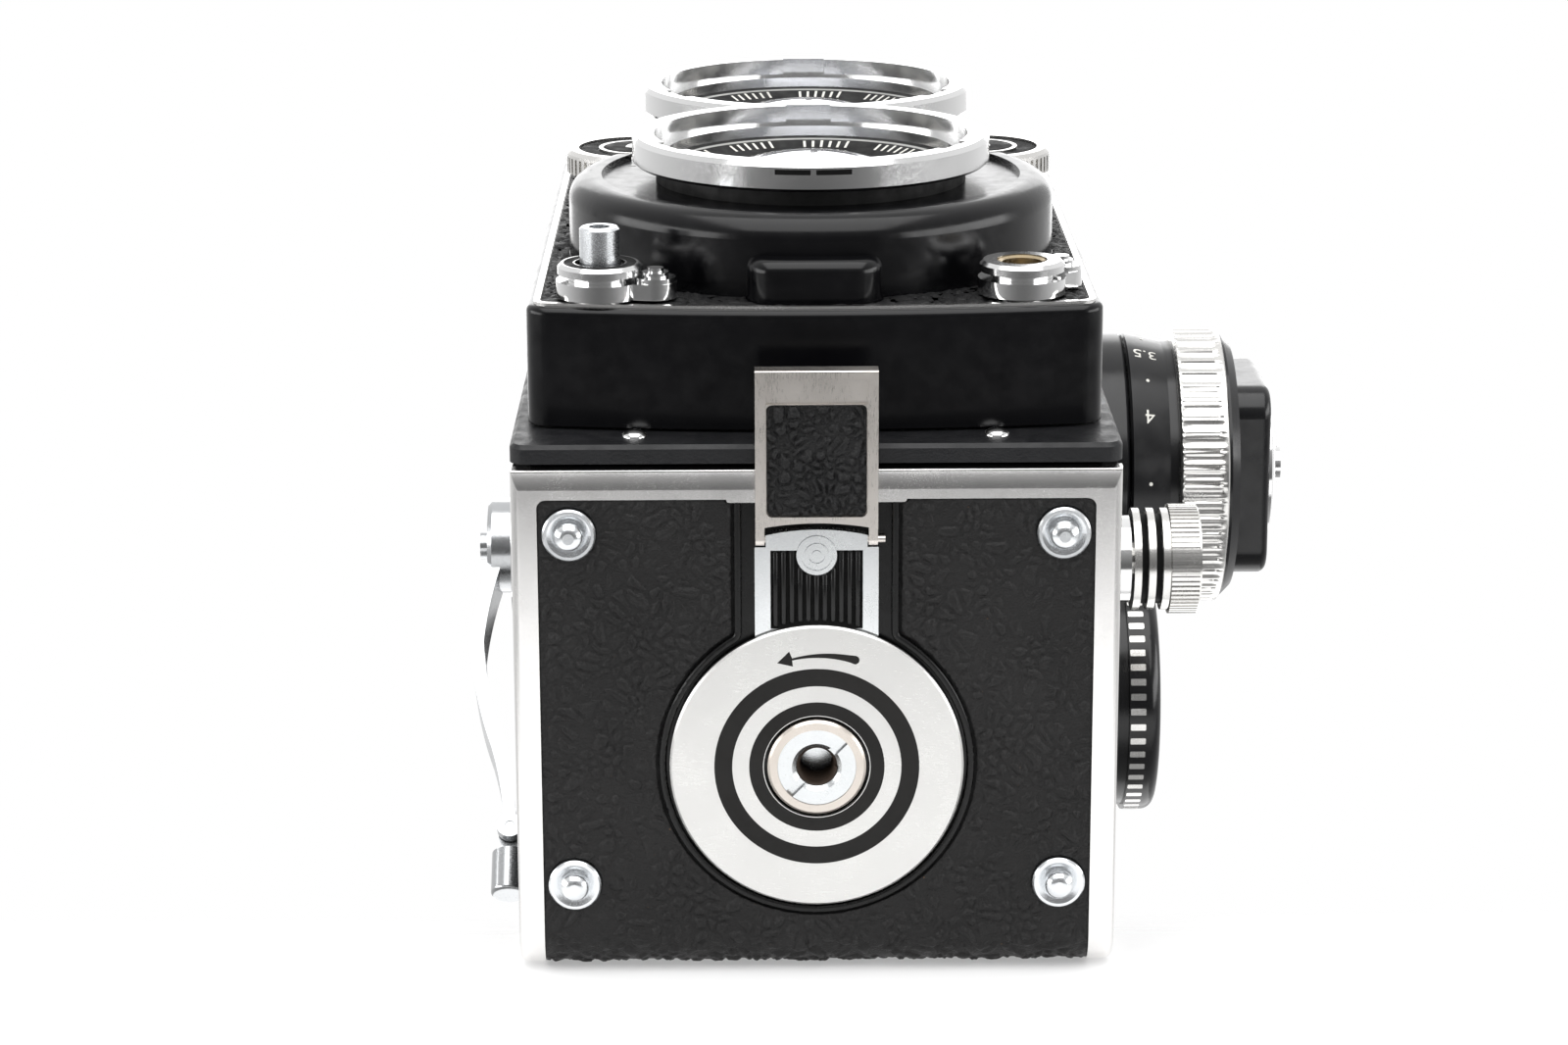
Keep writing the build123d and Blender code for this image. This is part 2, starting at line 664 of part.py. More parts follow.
clasp_z = 0.5
clasp_thick = 1.3
arc_y = -25.75
with BuildPart() as clasp:
    with BuildSketch(level(clasp_z)):
        with BuildLine():
            Line((-clasp_half, arc_y + 0.35), (-clasp_half, clasp_tip_y))
            Line((-clasp_half, clasp_tip_y), (clasp_half, clasp_tip_y))
            Line((clasp_half, clasp_tip_y), (clasp_half, arc_y + 0.35))
            ThreePointArc((clasp_half, arc_y + 0.35), (0, arc_y - 0.4), (-clasp_half, arc_y + 0.35))
        make_face()
    extrude(amount=clasp_thick)
    # leather tray
    with BuildSketch(level(clasp_z)):
        with Locations((0, -33.84)):
            RectangleRounded(12.2, 13.9, 0.8)
    extrude(amount=0.6, mode=Mode.SUBTRACT)
    # the plate is let down between its two side rails in front of the leather
    with BuildSketch(level(clasp_z)):
        with Locations((0, -42.45)):
            Rectangle(12.2, 3.2)
    extrude(amount=0.35, mode=Mode.SUBTRACT)
    # hook: the front edge turns inward
    with BuildSketch(level(clasp_z + 0.3)):
        with Locations((0, clasp_tip_y + 0.5)):
            Rectangle(2 * clasp_half, 1.0)
    extrude(amount=2.2)
    fillet(clasp.edges().filter_by(Axis.X).group_by(Axis.Z)[0].group_by(Axis.Y)[0], 0.25)
    # ears round the hinge pin
    for ear_x in (-clasp_half, clasp_half - 1.1):
        with BuildSketch(side(ear_x)):
            with Locations((latch_axis_y, latch_axis_z)):
                Circle(0.8)
            with Locations((latch_axis_y - 0.95, latch_axis_z - 0.5)):
                Rectangle(1.9, 0.6)
        extrude(amount=1.1)
    with BuildSketch(side(-clasp_half + 0.2)):
        with Locations((latch_axis_y, latch_axis_z)):
            Circle(0.45)
    extrude(amount=2 * clasp_half + 0.7)
save(clasp, "clasp")

with BuildPart() as clasp_leather:
    with BuildSketch(level(clasp_z + 0.1)):
        with Locations((0, -33.84)):
            RectangleRounded(12.1, 13.8, 0.75)
    extrude(amount=0.5)
save(clasp_leather, "clasp_leather")

# ---------------------------------------------------------------- front standard
shroud_low, shroud_high = 11.4, 113.4
bow = 3.0

with BuildSketch(mode=Mode.PRIVATE) as standard_outline:
    with BuildLine():
        Line((-shroud_half, shroud_low), (-shroud_half, shroud_high))
        ThreePointArc((-shroud_half, shroud_high), (0, shroud_high + bow), (shroud_half, shroud_high))
        Line((shroud_half, shroud_high), (shroud_half, shroud_low))
        ThreePointArc((shroud_half, shroud_low), (0, shroud_low - bow), (-shroud_half, shroud_low))
    make_face()
    fillet(standard_outline.vertices(), 3.0)

with BuildPart() as front_shroud:
    with BuildSketch(front(shroud_rear_y)):
        add(standard_outline.sketch)
    extrude(amount=shroud_rear_y - panel_y)
    fillet(front_shroud.faces().sort_by(Axis.Y)[0].outer_wire().edges(), 0.9)
    with BuildSketch(front(shroud_rear_y)):
        offset(standard_outline.sketch, amount=-shroud_wall)
    extrude(amount=shroud_rear_y - panel_y - shroud_wall, mode=Mode.SUBTRACT)
    with BuildSketch(front(shroud_rear_y)):
        with Locations((0, taking_z), (0, viewing_z)):
            Circle(17.0)
    extrude(amount=20, mode=Mode.SUBTRACT)
save(front_shroud, "front_shroud")

with BuildPart() as panel_outline:
    with BuildSketch(front(panel_y)):
        offset(standard_outline.sketch, amount=-0.9)
        offset(standard_outline.sketch, amount=-1.7, mode=Mode.SUBTRACT)
    extrude(amount=0.4)
save(panel_outline, "panel_outline")

collars_at = [(release_x, release_z), (sync_x, sync_z)]
wheels_at = [(-wheel_x, wheel_z), (wheel_x, wheel_z)]

with BuildPart() as front_leather:
    with BuildSketch(front(panel_y)):
        offset(standard_outline.sketch, amount=-1.75)
        with Locations((0, taking_z)):
            Circle(drum_r + 0.1, mode=Mode.SUBTRACT)
        with Locations((0, 23.0)):
            RectangleRounded(16.9, 23.0, 3.7, mode=Mode.SUBTRACT)
        with Locations((0, viewing_z)):
            Circle(20.6, mode=Mode.SUBTRACT)
        with Locations(collars_at):
            Circle(4.2, mode=Mode.SUBTRACT)
        with Locations(wheels_at):
            Circle(7.7, mode=Mode.SUBTRACT)
    extrude(amount=0.35)
save(front_leather, "front_leather")

with BuildPart() as shutter_drum:
    with BuildSketch(front(panel_y)):
        with Locations((0, taking_z)):
            Circle(drum_r)
    extrude(amount=panel_y - drum_face_y)
    fillet(shutter_drum.faces().sort_by(Axis.Y)[0].outer_wire().edges(), 3.0)
    # step that carries the engraved scale
    with BuildSketch(front(drum_face_y + 0.7)):
        with Locations((0, taking_z)):
            Circle(27.0)
    extrude(amount=1, mode=Mode.SUBTRACT)
    with BuildSketch(front(panel_y)):
        with Locations((0, taking_z)):
            Circle(barrel_r)
    extrude(amount=20, mode=Mode.SUBTRACT)
    with BuildSketch(front(panel_y)):
        with Locations(wheels_at):
            Circle(wheel_r + 0.6)
        with Locations((0, viewing_z)):
            Circle(20.5)
    extrude(amount=20, mode=Mode.SUBTRACT)
    # pill-shaped housing at the foot of the drum
    with BuildSketch(front(panel_y)):
        with Locations((0, 18.35)):
            RectangleRounded(16.5, 13.3, 3.5)
    extrude(amount=5.4)
    pill_face = shutter_drum.faces().filter_by(Axis.Y).filter_by(
        lambda f: abs(f.center().Y - (panel_y - 5.4)) < 0.05
    )
    fillet(pill_face.edges().group_by(Axis.Z)[0], 1.5)
save(shutter_drum, "shutter_drum")


def barrel_profile(rear_y0, face_y, lens_z, outer_r):
    """Half section of a lens barrel with a shallow name cone in front of the glass."""
    Polyline(
        (rear_y0, lens_z + glass_r + 0.2),
        (rear_y0, lens_z + 16.4),
        (panel_y, lens_z + 16.4),
        (panel_y, lens_z + outer_r),
        (face_y, lens_z + outer_r),
        (face_y, lens_z + cone_r),
        (face_y + 1.6, lens_z + glass_r + 0.2),
        close=True,
    )


with BuildPart() as taking_barrel:
    with BuildSketch(Plane.YZ):
        with BuildLine():
            barrel_profile(-42.0, -62.2, taking_z, barrel_r - 0.03)
        make_face()
    revolve(axis=Axis((0, 0, taking_z), (0, 1, 0)))
save(taking_barrel, "taking_barrel")

with BuildPart() as viewing_barrel:
    with BuildSketch(Plane.YZ):
        with BuildLine():
            barrel_profile(-42.0, -61.2, viewing_z, 20.4)
        make_face()
    revolve(axis=Axis((0, 0, viewing_z), (0, 1, 0)))
save(viewing_barrel, "viewing_barrel")


def bayonet_profile(rear, lens_z):
    """Half section of a bayonet ring: bevelled front edge, seat lip behind the opening."""
    Polyline(
        (rear, lens_z + cone_r + 0.1),
        (rear, lens_z + ring_r - 0.4),
        (rear - 0.4, lens_z + ring_r),
        (rear - 3.1, lens_z + ring_r),
        (rear - 3.7, lens_z + ring_r - 0.5),
        (rear - 3.7, lens_z + ring_inner_r),
        (rear - 1.3, lens_z + ring_inner_r),
        (rear - 1.3, lens_z + cone_r + 0.1),
        close=True,
    )


with BuildPart() as taking_ring:
    with BuildSketch(Plane.YZ):
        with BuildLine():
            bayonet_profile(-62.2, taking_z)
        make_face()
    revolve(axis=Axis((0, 0, taking_z), (0, 1, 0)))
    # three entry notches of the bayonet
    with BuildSketch(front(-63.5)):
        with Locations((0, taking_z)):
            with PolarLocations(ring_inner_r, 3, start_angle=90):
                Rectangle(1.6, 6.0)
    extrude(amount=4, mode=Mode.SUBTRACT)
save(taking_ring, "taking_ring")

with BuildPart() as viewing_ring:
    with BuildSketch(Plane.YZ):
        with BuildLine():
            bayonet_profile(-61.2, viewing_z)
        make_face()
    revolve(axis=Axis((0, 0, viewing_z), (0, 1, 0)))
    with BuildSketch(front(-62.5)):
        with Locations((0, viewing_z)):
            with PolarLocations(ring_inner_r, 3, start_angle=90):
                Rectangle(1.6, 6.0)
    extrude(amount=4, mode=Mode.SUBTRACT)
save(viewing_ring, "viewing_ring")


def lens_profile(edge_y, lens_z):
    """Half section of a front element with a domed face."""
    rim = lens_z + glass_r + 0.17
    Line((edge_y + 2.5, lens_z), (edge_y + 2.5, rim))
    Line((edge_y + 2.5, rim), (edge_y, rim))
    dome_r = ((rim - lens_z) ** 2 + dome_rise**2) / (2 * dome_rise)
    half_turn = asin((rim - lens_z) / dome_r) / 2
    middle = (edge_y - dome_rise + dome_r * (1 - cos(half_turn)), lens_z + dome_r * sin(half_turn))
    ThreePointArc((edge_y, rim), middle, (edge_y - dome_rise, lens_z))
    Line((edge_y - dome_rise, lens_z), (edge_y + 2.5, lens_z))


with BuildPart() as taking_glass:
    with BuildSketch(Plane.YZ):
        with BuildLine():
            lens_profile(-59.9, taking_z)
        make_face()
    revolve(axis=Axis((0, 0, taking_z), (0, 1, 0)))
save(taking_glass, "taking_glass")

with BuildPart() as viewing_glass:
    with BuildSketch(Plane.YZ):
        with BuildLine():
            lens_profile(-58.9, viewing_z)
        make_face()
    revolve(axis=Axis((0, 0, viewing_z), (0, 1, 0)))
save(viewing_glass, "viewing_glass")

blade_count = 5
with BuildPart() as shutter_blades:
    with BuildSketch(front(-53.0)):
        with Locations((0, taking_z)):
            Circle(glass_r + 0.15)
    extrude(amount=0.4)
    # step along each blade's edge
    with BuildSketch(front(-53.25)):
        with Locations((0, taking_z)):
            with PolarLocations(5.5, blade_count):
                Rectangle(12.0, 0.3)
    extrude(amount=0.3, mode=Mode.SUBTRACT)
save(shutter_blades, "shutter_blades")

collar_neck_y = -53.9
collar_neck_r = 3.8
collar_face_y = -55.2
collar_bore_r = 3.1
with BuildPart() as control_collars:
    with BuildSketch(front(panel_y)):
        with Locations(collars_at):
            Circle(collar_neck_r)
    extrude(amount=panel_y - collar_neck_y)
    with BuildSketch(front(collar_neck_y)):
        with Locations(collars_at):
            Circle(5.2)
    extrude(amount=collar_neck_y - collar_face_y)
    chamfer(control_collars.faces().group_by(Axis.Y)[0].edges(), 0.45)
    with BuildSketch(front(panel_y - 0.5)):
        with Locations(collars_at):
            Circle(collar_bore_r)
    extrude(amount=6, mode=Mode.SUBTRACT)
    with BuildSketch(front(panel_y)):
        with Locations(wheels_at):
            Circle(7.6)
            Circle(2.0 + fit, mode=Mode.SUBTRACT)
    extrude(amount=6.0)
save(control_collars, "control_collars")

with BuildPart() as release_button:
    with BuildSketch(front(-53.8)):
        with Locations((release_x, release_z)):
            Circle(2.45)
    extrude(amount=5.8)
    chamfer(release_button.faces().sort_by(Axis.Y)[0].edges(), 0.25)
    with BuildSketch(front(-59.7)):
        with Locations((release_x, release_z)):
            Circle(1.3)
    extrude(amount=-3.5, mode=Mode.SUBTRACT)
save(release_button, "release_button")

lever_rear_y = -51.15
lever_face_y = -53.1


def lever_outline(hub, nub):
    """Plan of a lever that turns round a collar: a ring and an arm to the nub."""
    with Locations(hub):
        Circle(5.4)
    with Locations(nub):
        Circle(2.6)
    arm = Vector(nub[0] - hub[0], nub[1] - hub[1])
    middle = ((hub[0] + nub[0]) / 2, (hub[1] + nub[1]) / 2)
    with Locations(Location((middle[0], middle[1]), arm.get_angle(Vector(1, 0)) * (1 if arm.Y > 0 else -1))):
        Rectangle(arm.length, 5.2)
    with Locations(hub):
        Circle(collar_neck_r + fit, mode=Mode.SUBTRACT)


with BuildPart() as release_lock_lever:
    with BuildSketch(front(lever_rear_y)):
        lever_outline((release_x, release_z), (release_nub_x, release_nub_z))
    extrude(amount=lever_rear_y - lever_face_y)
    for tier_r, tier_y in ((2.5, -53.7), (1.65, -54.3), (1.0, -54.8)):
        with BuildSketch(front(lever_face_y)):
            with Locations((release_nub_x, release_nub_z)):
                Circle(tier_r)
        extrude(amount=lever_face_y - tier_y)
save(release_lock_lever, "release_lock_lever")

with BuildPart() as sync_lever:
    with BuildSketch(front(lever_rear_y)):
        lever_outline((sync_x, sync_z), (sync_nub_x, sync_nub_z))
    extrude(amount=lever_rear_y - lever_face_y)
    for tier_r, tier_y in ((2.5, -53.7), (1.5, -54.3), (1.0, -54.8)):
        with BuildSketch(front(lever_face_y)):
            with Locations((sync_nub_x, sync_nub_z)):
                Circle(tier_r)
        extrude(amount=lever_face_y - tier_y)
save(sync_lever, "sync_lever")


# thumb wheels: bevelled knurled rim, sunk dark face, raised centre, shaft behind
for wheel_name, at in (("speed_wheel", (wheel_x, wheel_z)), ("aperture_wheel", (-wheel_x, wheel_z))):
    with BuildPart() as wheel:
        with BuildSketch(front(-56.8)):
            with Locations(at):
                Circle(wheel_r)
        extrude(amount=-56.8 - wheel_face_y)
        chamfer(wheel.faces().sort_by(Axis.Y)[0].edges(), 0.5)
        with BuildSketch(front(wheel_face_y + 0.35)):
            with Locations(at):
                Circle(wheel_r - 1.7)
                Circle(5.2, mode=Mode.SUBTRACT)
        extrude(amount=1, mode=Mode.SUBTRACT)
        with BuildSketch(front(-51.0)):
            with Locations(at):
                Circle(2.0)
        extrude(amount=6)
        with BuildSketch(front(-56.7)):
            with Locations(at):
                with PolarLocations(wheel_r, 56):
                    Rectangle(0.9, 0.5)
        extrude(amount=2.3, mode=Mode.SUBTRACT)
    save(wheel, wheel_name)

# ---------------------------------------------------------------- knobs on the +X side
with BuildPart() as focus_scale_ring:
    with BuildSketch(Plane.XY.offset(focus_at[1])):
        with BuildLine():
            Polyline(
                (44.6, focus_at[0]),
                (44.6, focus_at[0] + 18.6),
                (44.9, focus_at[0] + 18.9),
                (50.1, focus_at[0] + 17.7),
                (51.3, focus_at[0] + 17.7),
                (51.3, focus_at[0]),
                close=True,
            )
        make_face()
    revolve(axis=Axis((0, focus_at[0], focus_at[1]), (1, 0, 0)))
    with BuildSketch(side(33.9)):
        with Locations(focus_at):
            Circle(4.0)
    extrude(amount=11)
save(focus_scale_ring, "focus_scale_ring")

flute_count = 52
with BuildPart() as focus_grip_ring:
    with BuildSketch(side(51.3)):
        with Locations(focus_at):
            Circle(focus_r)
            with PolarLocations(focus_r + 0.12, flute_count):
                Rectangle(0.9, 0.75, mode=Mode.SUBTRACT)
    extrude(amount=6.9)
save(focus_grip_ring, "focus_grip_ring")

with BuildPart() as meter_housing:
    with BuildSketch(side(58.2)):
        with Locations(focus_at):
            Circle(18.6)
    extrude(amount=1.6)
    chamfer(meter_housing.faces().sort_by(Axis.X)[-1].edges(), 1.2)
    with BuildSketch(side(59.6)):
        with Locations(focus_at):
            RectangleRounded(27.0, 24.0, 4.0)
    extrude(amount=5.0)
    fillet(meter_housing.faces().sort_by(Axis.X)[-1].edges(), 1.2)
save(meter_housing, "meter_housing")

with BuildPart() as meter_cap:
    with BuildSketch(Plane.XY.offset(focus_at[1])):
        with BuildLine():
            Line((64.6, focus_at[0]), (64.6, focus_at[0] + 11.0))
            Line((64.6, focus_at[0] + 11.0), (65.0, focus_at[0] + 11.0))
            RadiusArc((65.0, focus_at[0] + 11.0), (66.6, focus_at[0]), 38.6)
            Line((66.6, focus_at[0]), (64.6, focus_at[0]))
        make_face()
    revolve(axis=Axis((0, focus_at[0], focus_at[1]), (1, 0, 0)))
    with BuildSketch(side(66.0)):
        with Locations(focus_at):
            Circle(2.6)
    extrude(amount=1.3)
    with BuildSketch(side(66.8)):
        with Locations(focus_at):
            Rectangle(6, 0.7)
    extrude(amount=1, mode=Mode.SUBTRACT)
save(meter_cap, "meter_cap")

with BuildPart() as film_dial:
    with BuildSketch(side(37.3)):
        with Locations(film_dial_at):
            Circle(film_dial_r - 0.6)
    extrude(amount=4.5)
    with BuildSketch(side(41.8)):
        with Locations(film_dial_at):
            Circle(film_dial_r)
    extrude(amount=4.2)
    fillet(film_dial.faces().sort_by(Axis.X)[-1].edges(), 1.6)
    with BuildSketch(side(34.8)):
        with Locations(film_dial_at):
            Circle(2.0)
    extrude(amount=3)
save(film_dial, "film_dial")

with BuildPart() as lower_spool_knob:
    with BuildSketch(side(28.2)):
        with Locations(supply_at):
            Circle(2.0)
    extrude(amount=13)
    with BuildSketch(side(39.7)):
        with Locations(supply_at):
            Circle(5.5)
    extrude(amount=5)
    for ring_x in (39.7, 41.5, 43.3):
        with BuildSketch(side(ring_x)):
            with Locations(supply_at):
                Circle(6.4)
        extrude(amount=0.9)
    with BuildSketch(side(44.3)):
        with Locations(supply_at):
            Circle(6.9)
            with PolarLocations(6.95, 62):
                Rectangle(0.6, 0.32, mode=Mode.SUBTRACT)
    extrude(amount=3.5)
    with BuildSketch(side(47.8)):
        with Locations(supply_at):
            Circle(6.5)
    extrude(amount=0.25)
save(lower_spool_knob, "lower_spool_knob")

with BuildPart() as upper_spool_knob:
    with BuildSketch(side(28.2)):
        with Locations(takeup_at):
            Circle(2.0)
    extrude(amount=13)
    with BuildSketch(side(39.7)):
        with Locations(takeup_at):
            Circle(4.7)
            with PolarLocations(4.75, 40):
                Rectangle(0.5, 0.32, mode=Mode.SUBTRACT)
    extrude(amount=5.0)
    with BuildSketch(side(44.7)):
        with Locations(takeup_at):
            Circle(4.2)
    extrude(amount=0.4)
save(upper_spool_knob, "upper_spool_knob")

# ---------------------------------------------------------------- film spools
# a 120 spool is a core with two flanges and a keyed hole at each end
for spool_name, at in (("supply_spool", supply_at), ("takeup_spool", takeup_at)):
    with BuildPart() as spool:
        with BuildSketch(side(-spool_half)):
            with Locations(at):
                Circle(5.5)
        extrude(amount=2 * spool_half)
        for flange_x in (-spool_half, spool_half - 0.8):
            with BuildSketch(side(flange_x)):
                with Locations(at):
                    Circle(spool_r)
            extrude(amount=0.8)
        for hole_x in (-spool_half, spool_half - 4):
            with BuildSketch(side(hole_x)):
                with Locations(at):
                    Circle(2.4)
            extrude(amount=4, mode=Mode.SUBTRACT)
    save(spool, spool_name)

# ---------------------------------------------------------------- crank on the -X side
arm_run = Vector(0, crank_to[0] - crank_at[0], crank_to[1] - crank_at[1])
arm_dir = arm_run.normalized()
crank_centre = Vector(-side_x, crank_at[0], crank_at[1])
arm_plane = Plane(origin=crank_centre, x_dir=arm_dir, z_dir=arm_dir.cross(Vector(-1, 0, 0)))
arm_end = 44.0

with BuildPart() as crank_arm:
    # hub on its shaft
    with BuildSketch(side(-40.4)):
        with Locations(crank_at):
            Circle(6.5)
    extrude(amount=-3.4)
    chamfer(crank_arm.faces().sort_by(Axis.X)[0].edges(), 0.6)
    with BuildSketch(side(-31.5)):
        with Locations(crank_at):
            Circle(3.0)
    extrude(amount=-10)
    with BuildSketch(side(-43.8)):
        with Locations(crank_at):
            Circle(1.9)
    extrude(amount=-1.2)
    # arm, bowed away from the body in the middle
    with BuildSketch(arm_plane.offset(-3.4)):
        with BuildLine():
            ThreePointArc((4.0, 6.8), (11.0, 7.9), (17.0, 8.6))
            ThreePointArc((17.0, 8.6), (25.0, 7.6), (33.0, 5.4))
            ThreePointArc((33.0, 5.4), (38.5, 4.1), (arm_end, 3.4))
            Line((arm_end, 3.4), (arm_end, 1.9))
            ThreePointArc((arm_end, 1.9), (38.1, 2.5), (32.5, 3.7))
            ThreePointArc((32.5, 3.7), (24.6, 5.9), (17.0, 6.9))
            ThreePointArc((17.0, 6.9), (11.0, 6.2), (4.0, 4.6))
            Line((4.0, 4.6), (4.0, 6.8))
        make_face()
    extrude(amount=6.8)
    # fork that holds the handle's pin
    with BuildSketch(arm_plane.offset(-3.4)):
        with Locations((arm_end + 0.6, 2.65)):
            Circle(1.7)
        with Locations((arm_end - 0.6, 2.65)):
            Rectangle(2.4, 1.5)
    extrude(amount=6.8)
    with BuildSketch(arm_plane.offset(-1.9)):
        with Locations((arm_end + 1.4, 2.65)):
            Rectangle(5.2, 4.6)
    extrude(amount=3.8, mode=Mode.SUBTRACT)
    with BuildSketch(arm_plane.offset(-4)):
        with Locations((arm_end + 0.6, 2.65)):
            Circle(0.6)
    extrude(amount=8, mode=Mode.SUBTRACT)
save(crank_arm, "crank_arm")

with BuildPart() as crank_handle:
    with BuildSketch(arm_plane.offset(-1.6)):
        with Locations((arm_end + 0.6, 2.65)):
            Circle(1.5)
        with Locations((arm_end + 2.2, 2.65)):
            Rectangle(3.2, 3.0)
    extrude(amount=3.2)
    with BuildSketch(arm_plane.offset(-3.3)):
        with Locations((arm_end + 0.6, 2.65)):
            Circle(0.56)
    extrude(amount=6.6)
    with BuildSketch(Plane(origin=crank_centre + arm_dir * (arm_end + 3.2) + Vector(-2.65, 0, 0), z_dir=arm_dir)):
        Circle(2.4)
    extrude(amount=6.0)
    handle_end = crank_handle.faces().sort_by(lambda f: f.center().dot(arm_dir))[-1]
    fillet(handle_end.edges(), 0.5)
save(crank_handle, "crank_handle")

# ---------------------------------------------------------------- hood, folded down
with BuildPart() as hood_lid:
    with BuildSketch(level(lid_base_z)):
        with Locations((0, (hood_front_y + hood_rear_y) / 2)):
            RectangleRounded(2 * hood_half, hood_rear_y - hood_front_y, 2.2)
    extrude(amount=lid_top_z - lid_base_z)
    fillet(hood_lid.faces().sort_by(Axis.Z)[-1].edges(), 1.6)
    with BuildSketch(level(lid_base_z)):
        with Locations((0, (hood_front_y + hood_rear_y) / 2)):
            RectangleRounded(2 * hood_half - 2.2, hood_rear_y - hood_front_y - 2.2, 1.0)
    extrude(amount=lid_top_z - lid_base_z - 1.4, mode=Mode.SUBTRACT)
    with BuildSketch(level(lid_base_z)):
        with Locations((0, hood_front_y)):
            Rectangle(50, 3.0)
    extrude(amount=lid_notch_z - lid_base_z, mode=Mode.SUBTRACT)
    for barrel_x in (-24, 12):
        with BuildSketch(side(barrel_x)):
            with Locations((lid_axis_y, lid_axis_z)):
                Circle(lid_barrel_r)
            with Locations((lid_axis_y - 0.2, (lid_axis_z + lid_notch_z) / 2 + 0.1)):
                Rectangle(1.0, lid_notch_z - lid_axis_z + 0.2)
            with Locations((lid_axis_y, lid_axis_z)):
                Circle(flap_pin_r + fit, mode=Mode.SUBTRACT)
        extrude(amount=12)
save(hood_lid, "hood_lid")

flap_margin = 1.2
flap_inner = side_flap_x - side_flap_height
flap_front = lid_axis_y + flap_margin
root_half = side_flap_x - 2.6
tip_half = side_flap_x - rear_flap_height - flap_margin
with BuildPart() as right_flap:
    with BuildSketch(level(side_flap_z - flap_thick / 2)):
        with BuildLine():
            Polyline(
                (side_flap_x, side_lug_front_y + lug_thick / 2 + 0.5),
                (side_flap_x, 27.0),
                (flap_inner, 27.0),
                (flap_inner, flap_front + side_flap_height),
                close=True,
            )
        make_face()
    extrude(amount=flap_thick)
    with BuildSketch(front(side_lug_rear_y + 0.35)):
        with Locations((side_flap_x, side_flap_z)):
            Circle(flap_pin_r)
    extrude(amount=side_lug_rear_y - side_lug_front_y + 0.7)
save(right_flap, "right_flap")

with BuildPart() as left_flap:
    mirror(right_flap.part, about=Plane.YZ)
save(left_flap, "left_flap")

with BuildPart() as rear_flap:
    with BuildSketch(level(rear_flap_z - flap_thick / 2)):
        with BuildLine():
            Polyline(
                (-root_half, rear_flap_y + 0.4),
                (root_half, rear_flap_y + 0.4),
                (root_half, rear_flap_y - 1.4),
                (tip_half, rear_flap_y - rear_flap_height),
                (-tip_half, rear_flap_y - rear_flap_height),
                (-root_half, rear_flap_y - 1.4),
                close=True,
            )
        make_face()
    extrude(amount=flap_thick)
    with BuildSketch(side(-rear_lug_x - 0.35)):
        with Locations((rear_flap_y, rear_flap_z)):
            Circle(flap_pin_r)
    extrude(amount=2 * rear_lug_x + 0.7)
save(rear_flap, "rear_flap")

with BuildPart() as magnifier:
    with BuildSketch(level(lid_top_z - 9.0)):
        with Locations((0, 8.0)):
            Circle(14.5)
            Circle(12.5, mode=Mode.SUBTRACT)
    extrude(amount=4.5)
    with BuildSketch(level(lid_top_z - 9.0)):
        with Locations((-13.5, 8.0), (13.5, 8.0)):
            Rectangle(1.8, 8.0)
    extrude(amount=7.6)
save(magnifier, "magnifier")
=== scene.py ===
import math

import bpy
import numpy as np
from mathutils import Matrix, Vector
from mathutils.geometry import delaunay_2d_cdt
from mathutils.kdtree import KDTree


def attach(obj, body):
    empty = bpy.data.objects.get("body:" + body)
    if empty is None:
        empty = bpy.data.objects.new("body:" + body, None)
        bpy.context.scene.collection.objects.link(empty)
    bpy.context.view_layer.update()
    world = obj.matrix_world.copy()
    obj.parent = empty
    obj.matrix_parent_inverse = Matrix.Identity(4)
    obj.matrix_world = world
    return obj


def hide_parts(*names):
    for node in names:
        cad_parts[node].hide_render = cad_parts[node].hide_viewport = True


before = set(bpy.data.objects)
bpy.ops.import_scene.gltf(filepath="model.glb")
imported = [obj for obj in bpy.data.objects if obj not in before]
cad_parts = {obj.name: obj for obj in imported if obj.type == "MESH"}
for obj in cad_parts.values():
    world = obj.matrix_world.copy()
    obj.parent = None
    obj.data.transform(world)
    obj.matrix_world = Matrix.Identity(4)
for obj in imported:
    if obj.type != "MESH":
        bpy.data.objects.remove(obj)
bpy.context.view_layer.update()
MM = 0.001
COARSE = 1.0
scene = bpy.context.scene
scene.view_settings.view_transform = "Standard"

# ---------------------------------------------------------------- places on the solid parts (mm)
side_x = 37.0
feet_at = [(x, y) for x in (-29.93, 29.93) for y in (-24.4, 20.5)]
dial_y, dial_r, dial_face_z = 5.03, 18.03, 1.3
flange_face_y = -35.4
taking_z, viewing_z = 46.2, 93.5
drum_r, drum_face_y = 31.2, -60.0
ring_r, taking_rear_y, viewing_rear_y = 23.0, -62.2, -61.2
wheel_x, wheel_z, wheel_face_y = 23.0, 69.7, -59.9
release_x, release_z = -26.2, 15.6
sync_x, sync_z = 25.4, 16.2
collar_face_y = -55.2
focus_y, focus_z, focus_r = -10.7, 87.2, 19.4
film_dial_y, film_dial_z, film_dial_r = 11.8, 52.2, 16.0
supply_y, supply_z = -16.2, 19.2
takeup_y, takeup_z = 14.0, 86.0
crank_y, crank_z = -5.7, 64.2
mark_top, mark_root = 0.03, -0.05     # painted marks stand this proud and reach this deep
curved_root = -0.06                   # marks on round faces reach a little deeper

